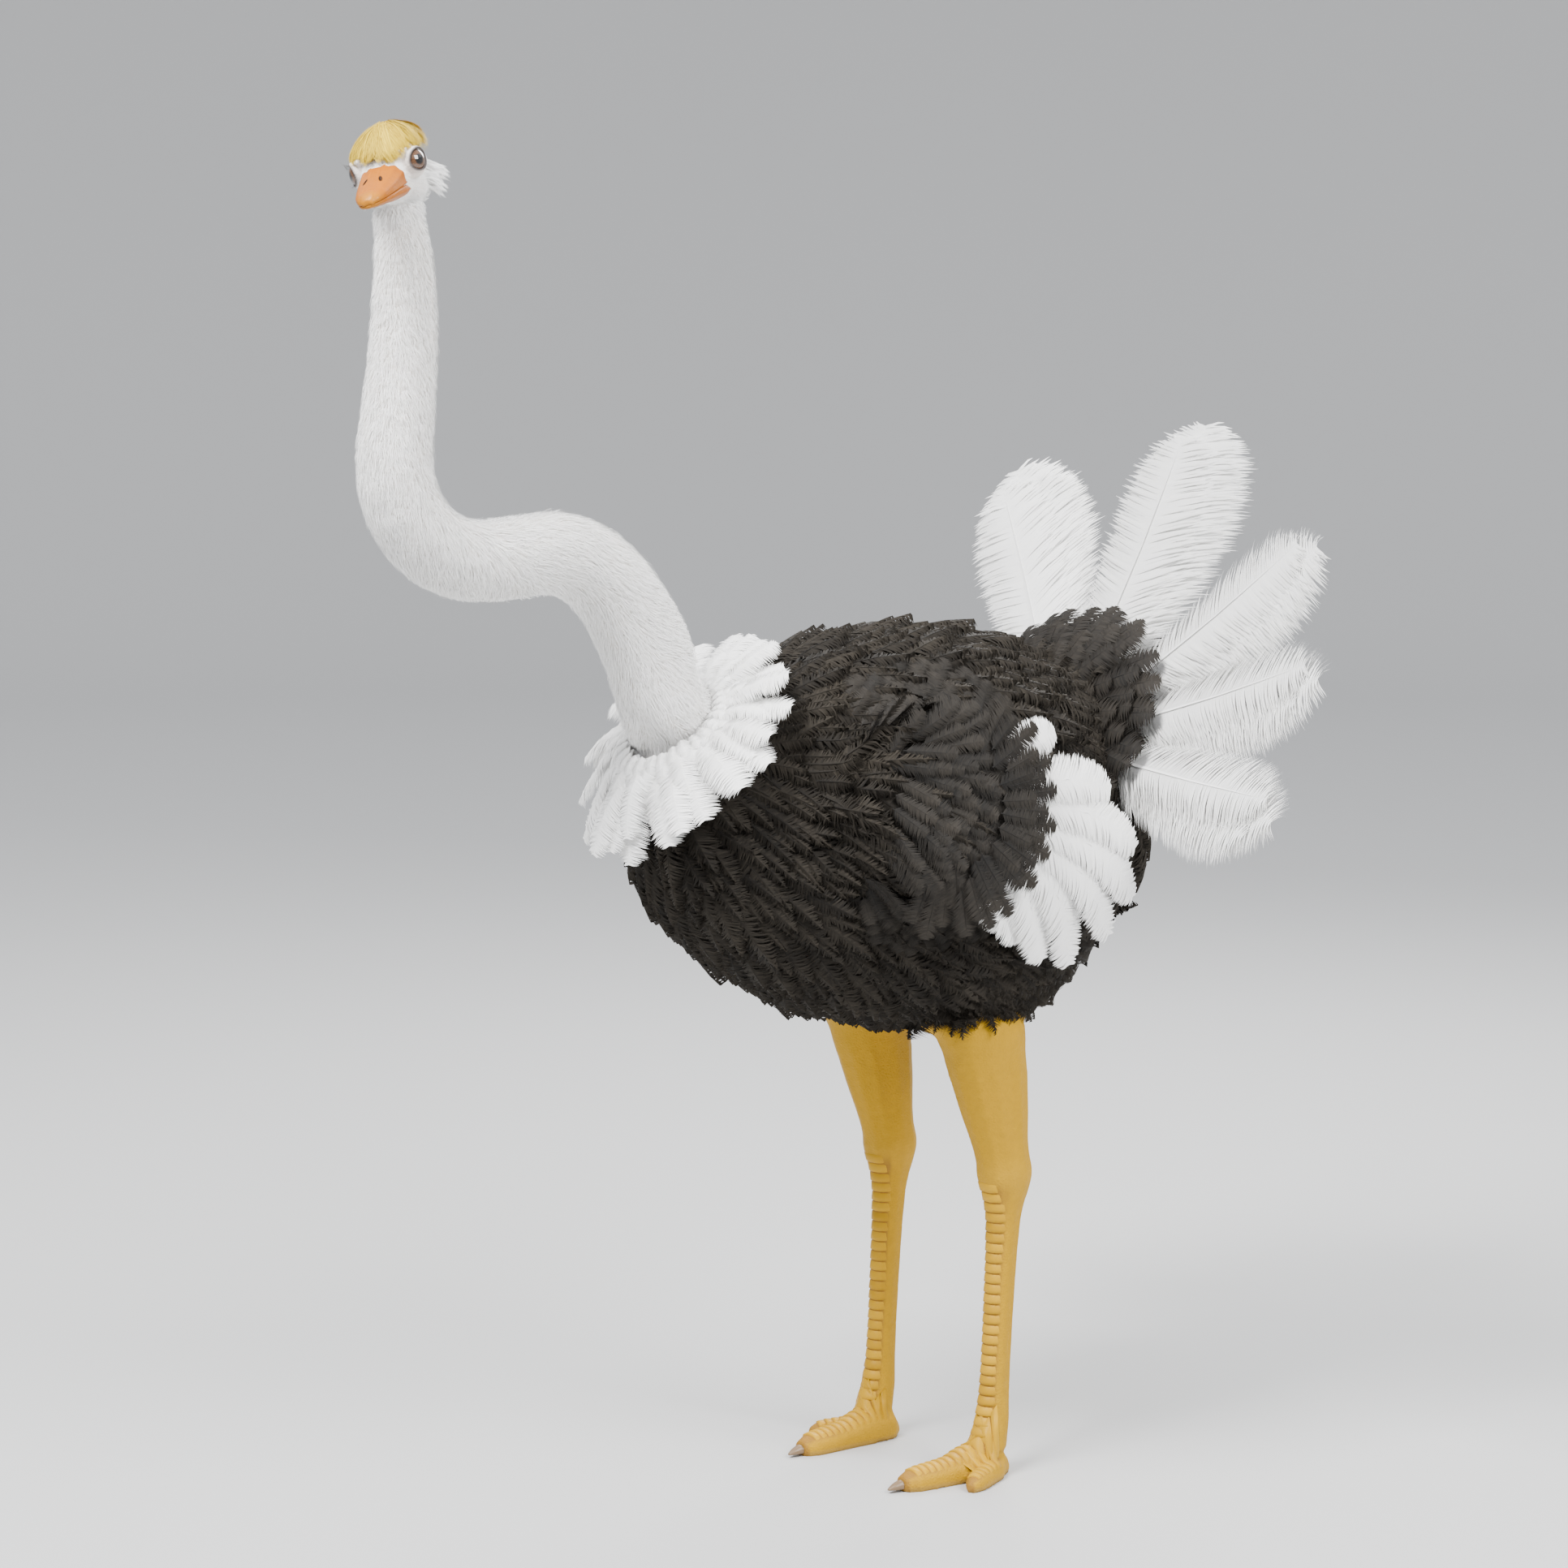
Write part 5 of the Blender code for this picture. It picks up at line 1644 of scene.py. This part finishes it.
def speckled(tree, colour, place_at, speckle):
    """colour's output, lighter and darker in fine patches."""
    noise = tree.nodes.new("ShaderNodeTexNoise")
    noise.inputs["Scale"].default_value = 90
    noise.inputs["Detail"].default_value = 4
    share = tree.nodes.new("ShaderNodeMapRange")
    share.inputs["To Min"].default_value = 1 - speckle
    share.inputs["To Max"].default_value = 1 + speckle
    shade = tree.nodes.new("ShaderNodeHueSaturation")
    tree.links.new(place_at, noise.inputs["Vector"])
    tree.links.new(noise.outputs["Fac"], share.inputs["Value"])
    tree.links.new(share.outputs["Result"], shade.inputs["Value"])
    tree.links.new(colour, shade.inputs["Color"])
    return shade.outputs["Color"]


def bumped(tree, kind, scale, height, place_at, under):
    """A bump of scales or noise on top of the bump under it."""
    texture = tree.nodes.new("ShaderNodeTexVoronoi" if kind == "scales" else "ShaderNodeTexNoise")
    texture.inputs["Scale"].default_value = scale
    if kind == "scales":
        texture.feature = "DISTANCE_TO_EDGE"
    bump = tree.nodes.new("ShaderNodeBump")
    bump.inputs["Distance"].default_value = height
    tree.links.new(place_at, texture.inputs["Vector"])
    tree.links.new(texture.outputs["Distance" if kind == "scales" else "Fac"], bump.inputs["Height"])
    if under:
        tree.links.new(under, bump.inputs["Normal"])
    return bump.outputs["Normal"]


def painted_material(name, roughness, specular=0.5, coat_weight=0.0, bumps=(), speckle=0.12):
    """Colour comes from the painted points, speckled; bumps are (texture, scale, height in metres)."""
    material, tree, shader = new_material(name, roughness, specular, coat_weight)
    colour = tree.nodes.new("ShaderNodeAttribute")
    colour.attribute_name = "paint"
    place_at = tree.nodes.new("ShaderNodeTexCoord").outputs["Object"]
    tree.links.new(speckled(tree, colour.outputs["Color"], place_at, speckle), shader.inputs["Base Color"])
    normal = None
    for bump in bumps:
        normal = bumped(tree, *bump, place_at, normal)
    if normal:
        tree.links.new(normal, shader.inputs["Normal"])
    return material


BLACK = feather_material("black_plume", (0.006, 0.005, 0.004), (0.030, 0.025, 0.019), 0.75, 0.14)
BLACK_VANE = feather_material("black_vane", (0.005, 0.0045, 0.004), (0.027, 0.0225, 0.0175), 0.64, 0.18)
PLUME_WHITE = feather_material("white_plume", (0.90, 0.89, 0.87), (0.98, 0.98, 0.965), 0.75, 0.15)
DOWN_WHITE = feather_material("white_down", (0.89, 0.88, 0.86), (0.98, 0.975, 0.96), 0.80, 0.15)
STRAW = feather_material("straw_feather", (0.42, 0.26, 0.012), (0.80, 0.59, 0.050), 0.60, 0.12)
LASH = feather_material("lash", (0.006, 0.005, 0.004), (0.02, 0.016, 0.012), 0.45)
SCALE = feather_material("leg_scute", (0.44, 0.235, 0.001), (0.56, 0.31, 0.004), 0.46, 0.2)
SKIN = painted_material("skin", 0.60, 0.2, bumps=(("scales", 190, 0.0012), ("noise", 320, 0.0004)))
BILL = painted_material("bill_horn", 0.42, 0.22, 0.03, bumps=(("noise", 260, 0.0003),), speckle=0.10)
EYE = painted_material("eye", 0.08, 0.6, 1.0, speckle=0.05)
CLAW = feather_material("claw_horn", (0.20, 0.13, 0.07), (0.34, 0.24, 0.14), 0.38, 0.5)
FLOOR = new_material("pale_floor", 0.85)[0]
FLOOR.node_tree.nodes["Principled BSDF"].inputs["Base Color"].default_value = (0.53, 0.53, 0.525, 1)


# ---------------------------------------------------------------- stage


# What the camera looks at, and its bearing from the front, elevation, distance and lens
CAMERA_AIM = Vector((MIDDLE_X, -0.0223, 1.16))
CAMERA_BEARING, CAMERA_ELEVATION = math.radians(52), math.radians(7)
CAMERA_DISTANCE, CAMERA_LENS = 6.8, 97.4
LIGHT_AIM = Vector((0, 0, 1.1))
# name, bearing from the front, height, distance, size, watts
LIGHTS = (
    ("key", 12, 6.0, 3.6, 2.2, 860),
    ("fill", 104, 4.6, 4.6, 2.6, 420),
    ("rim", 215, 4.2, 4.2, 2.6, 260),
)


def sweep_floor(radius=13.0, bend=5.0, height=9.0):
    """A round pale floor whose edge curves up into a wall."""
    profile = [(0.001, 0.0), (radius, 0.0)]
    profile += [
        (radius + bend * math.sin(a), bend * (1 - math.cos(a))) for a in np.linspace(0, math.pi / 2, 17)[1:]
    ]
    profile.append((radius + bend, height))
    count = 128
    turn = math.tau * np.arange(count) / count
    rings = [np.stack([r * np.cos(turn), r * np.sin(turn), np.full(count, z)], 1) for r, z in profile]
    rows = np.arange(len(profile) - 1)[:, None] * count
    i = np.arange(count)[None]
    j = (i + 1) % count
    faces = np.stack([rows + i, rows + j, rows + count + j, rows + count + i], 2)[..., ::-1].reshape(-1, 4)
    return array_mesh("floor", np.concatenate(rings), faces, FLOOR)


def aimed(name, data, place_at, away):
    """Puts a camera or a lamp in the scene; away points to it from what it looks at."""
    obj = linked(name, data)
    obj.location = place_at
    obj.rotation_mode = "QUATERNION"
    obj.rotation_quaternion = (-away).to_track_quat("-Z", "Y")
    return obj


def stage():
    """Pale floor, soft lights and the camera at the picture's viewing angle."""
    sweep_floor()
    level = math.cos(CAMERA_ELEVATION)
    side, back = math.sin(CAMERA_BEARING) * level, -math.cos(CAMERA_BEARING) * level
    away = Vector((side, back, math.sin(CAMERA_ELEVATION)))
    camera = bpy.data.cameras.new("camera")
    camera.sensor_width, camera.lens = 36, CAMERA_LENS
    bpy.context.scene.camera = aimed("camera", camera, CAMERA_AIM + away * CAMERA_DISTANCE, away)
    for name, bearing, height, reach, size, power in LIGHTS:
        data = bpy.data.lights.new(name, "AREA")
        data.energy, data.size = power, size
        turn = math.radians(bearing)
        spot = Vector((math.sin(turn) * reach, -math.cos(turn) * reach, height))
        aimed(name, data, spot, spot - LIGHT_AIM)
    world = bpy.data.worlds.new("studio")
    world.use_nodes = True
    background = world.node_tree.nodes["Background"]
    background.inputs["Color"].default_value = (0.93, 0.95, 1.0, 1)
    background.inputs["Strength"].default_value = 1.25
    bpy.context.scene.world = world


def dress():
    """Makes every piece, hides the nodes that the pieces stand for, and hangs every piece under the root
    body.
    """
    mesh = one_skin()
    skin = Surface(mesh)
    paint(mesh, skin_colours(skin.points, skin.normals))
    mesh.shade_smooth()
    hide = object_of("skin", mesh, SKIN)
    flesh = ["trunk", "neck_lower", "neck_middle", "neck_upper", "head", "ear_left", "ear_right"]
    for side in ("left", "right"):
        flesh += [f"{part}_{side}" for part in ("thigh", "shank", "toe_main", "toe_side")]
    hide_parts(*flesh)
    pieces = [hide]
    pieces += eyes() + bill() + claws()
    pieces += body_coat(skin) + trouser_coat(skin) + neck_coat(skin) + head_coat(skin)
    for maker, nodes in ((crown_coat, ["crown"]), (ruff_coat, ["collar"]), (tail_coverts, ["tail_coverts"])):
        made = maker(skin)
        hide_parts(*nodes)
        pieces += made
    made = tail_plumes(skin)
    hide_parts(*[f"tail_plume_{i}" for i in range(1, 8)])
    pieces += made
    for sign, side in SIDES:
        coverts, plumes = wing_coverts(skin, sign, side), flight_plumes(skin, sign, side)
        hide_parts("wing_" + side)
        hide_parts(f"wing_{side}_plumes")
        pieces += coverts + plumes
    pieces += lashes(skin) + leg_scales(skin)
    for piece in pieces:
        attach(piece, "root")


dress()
stage()
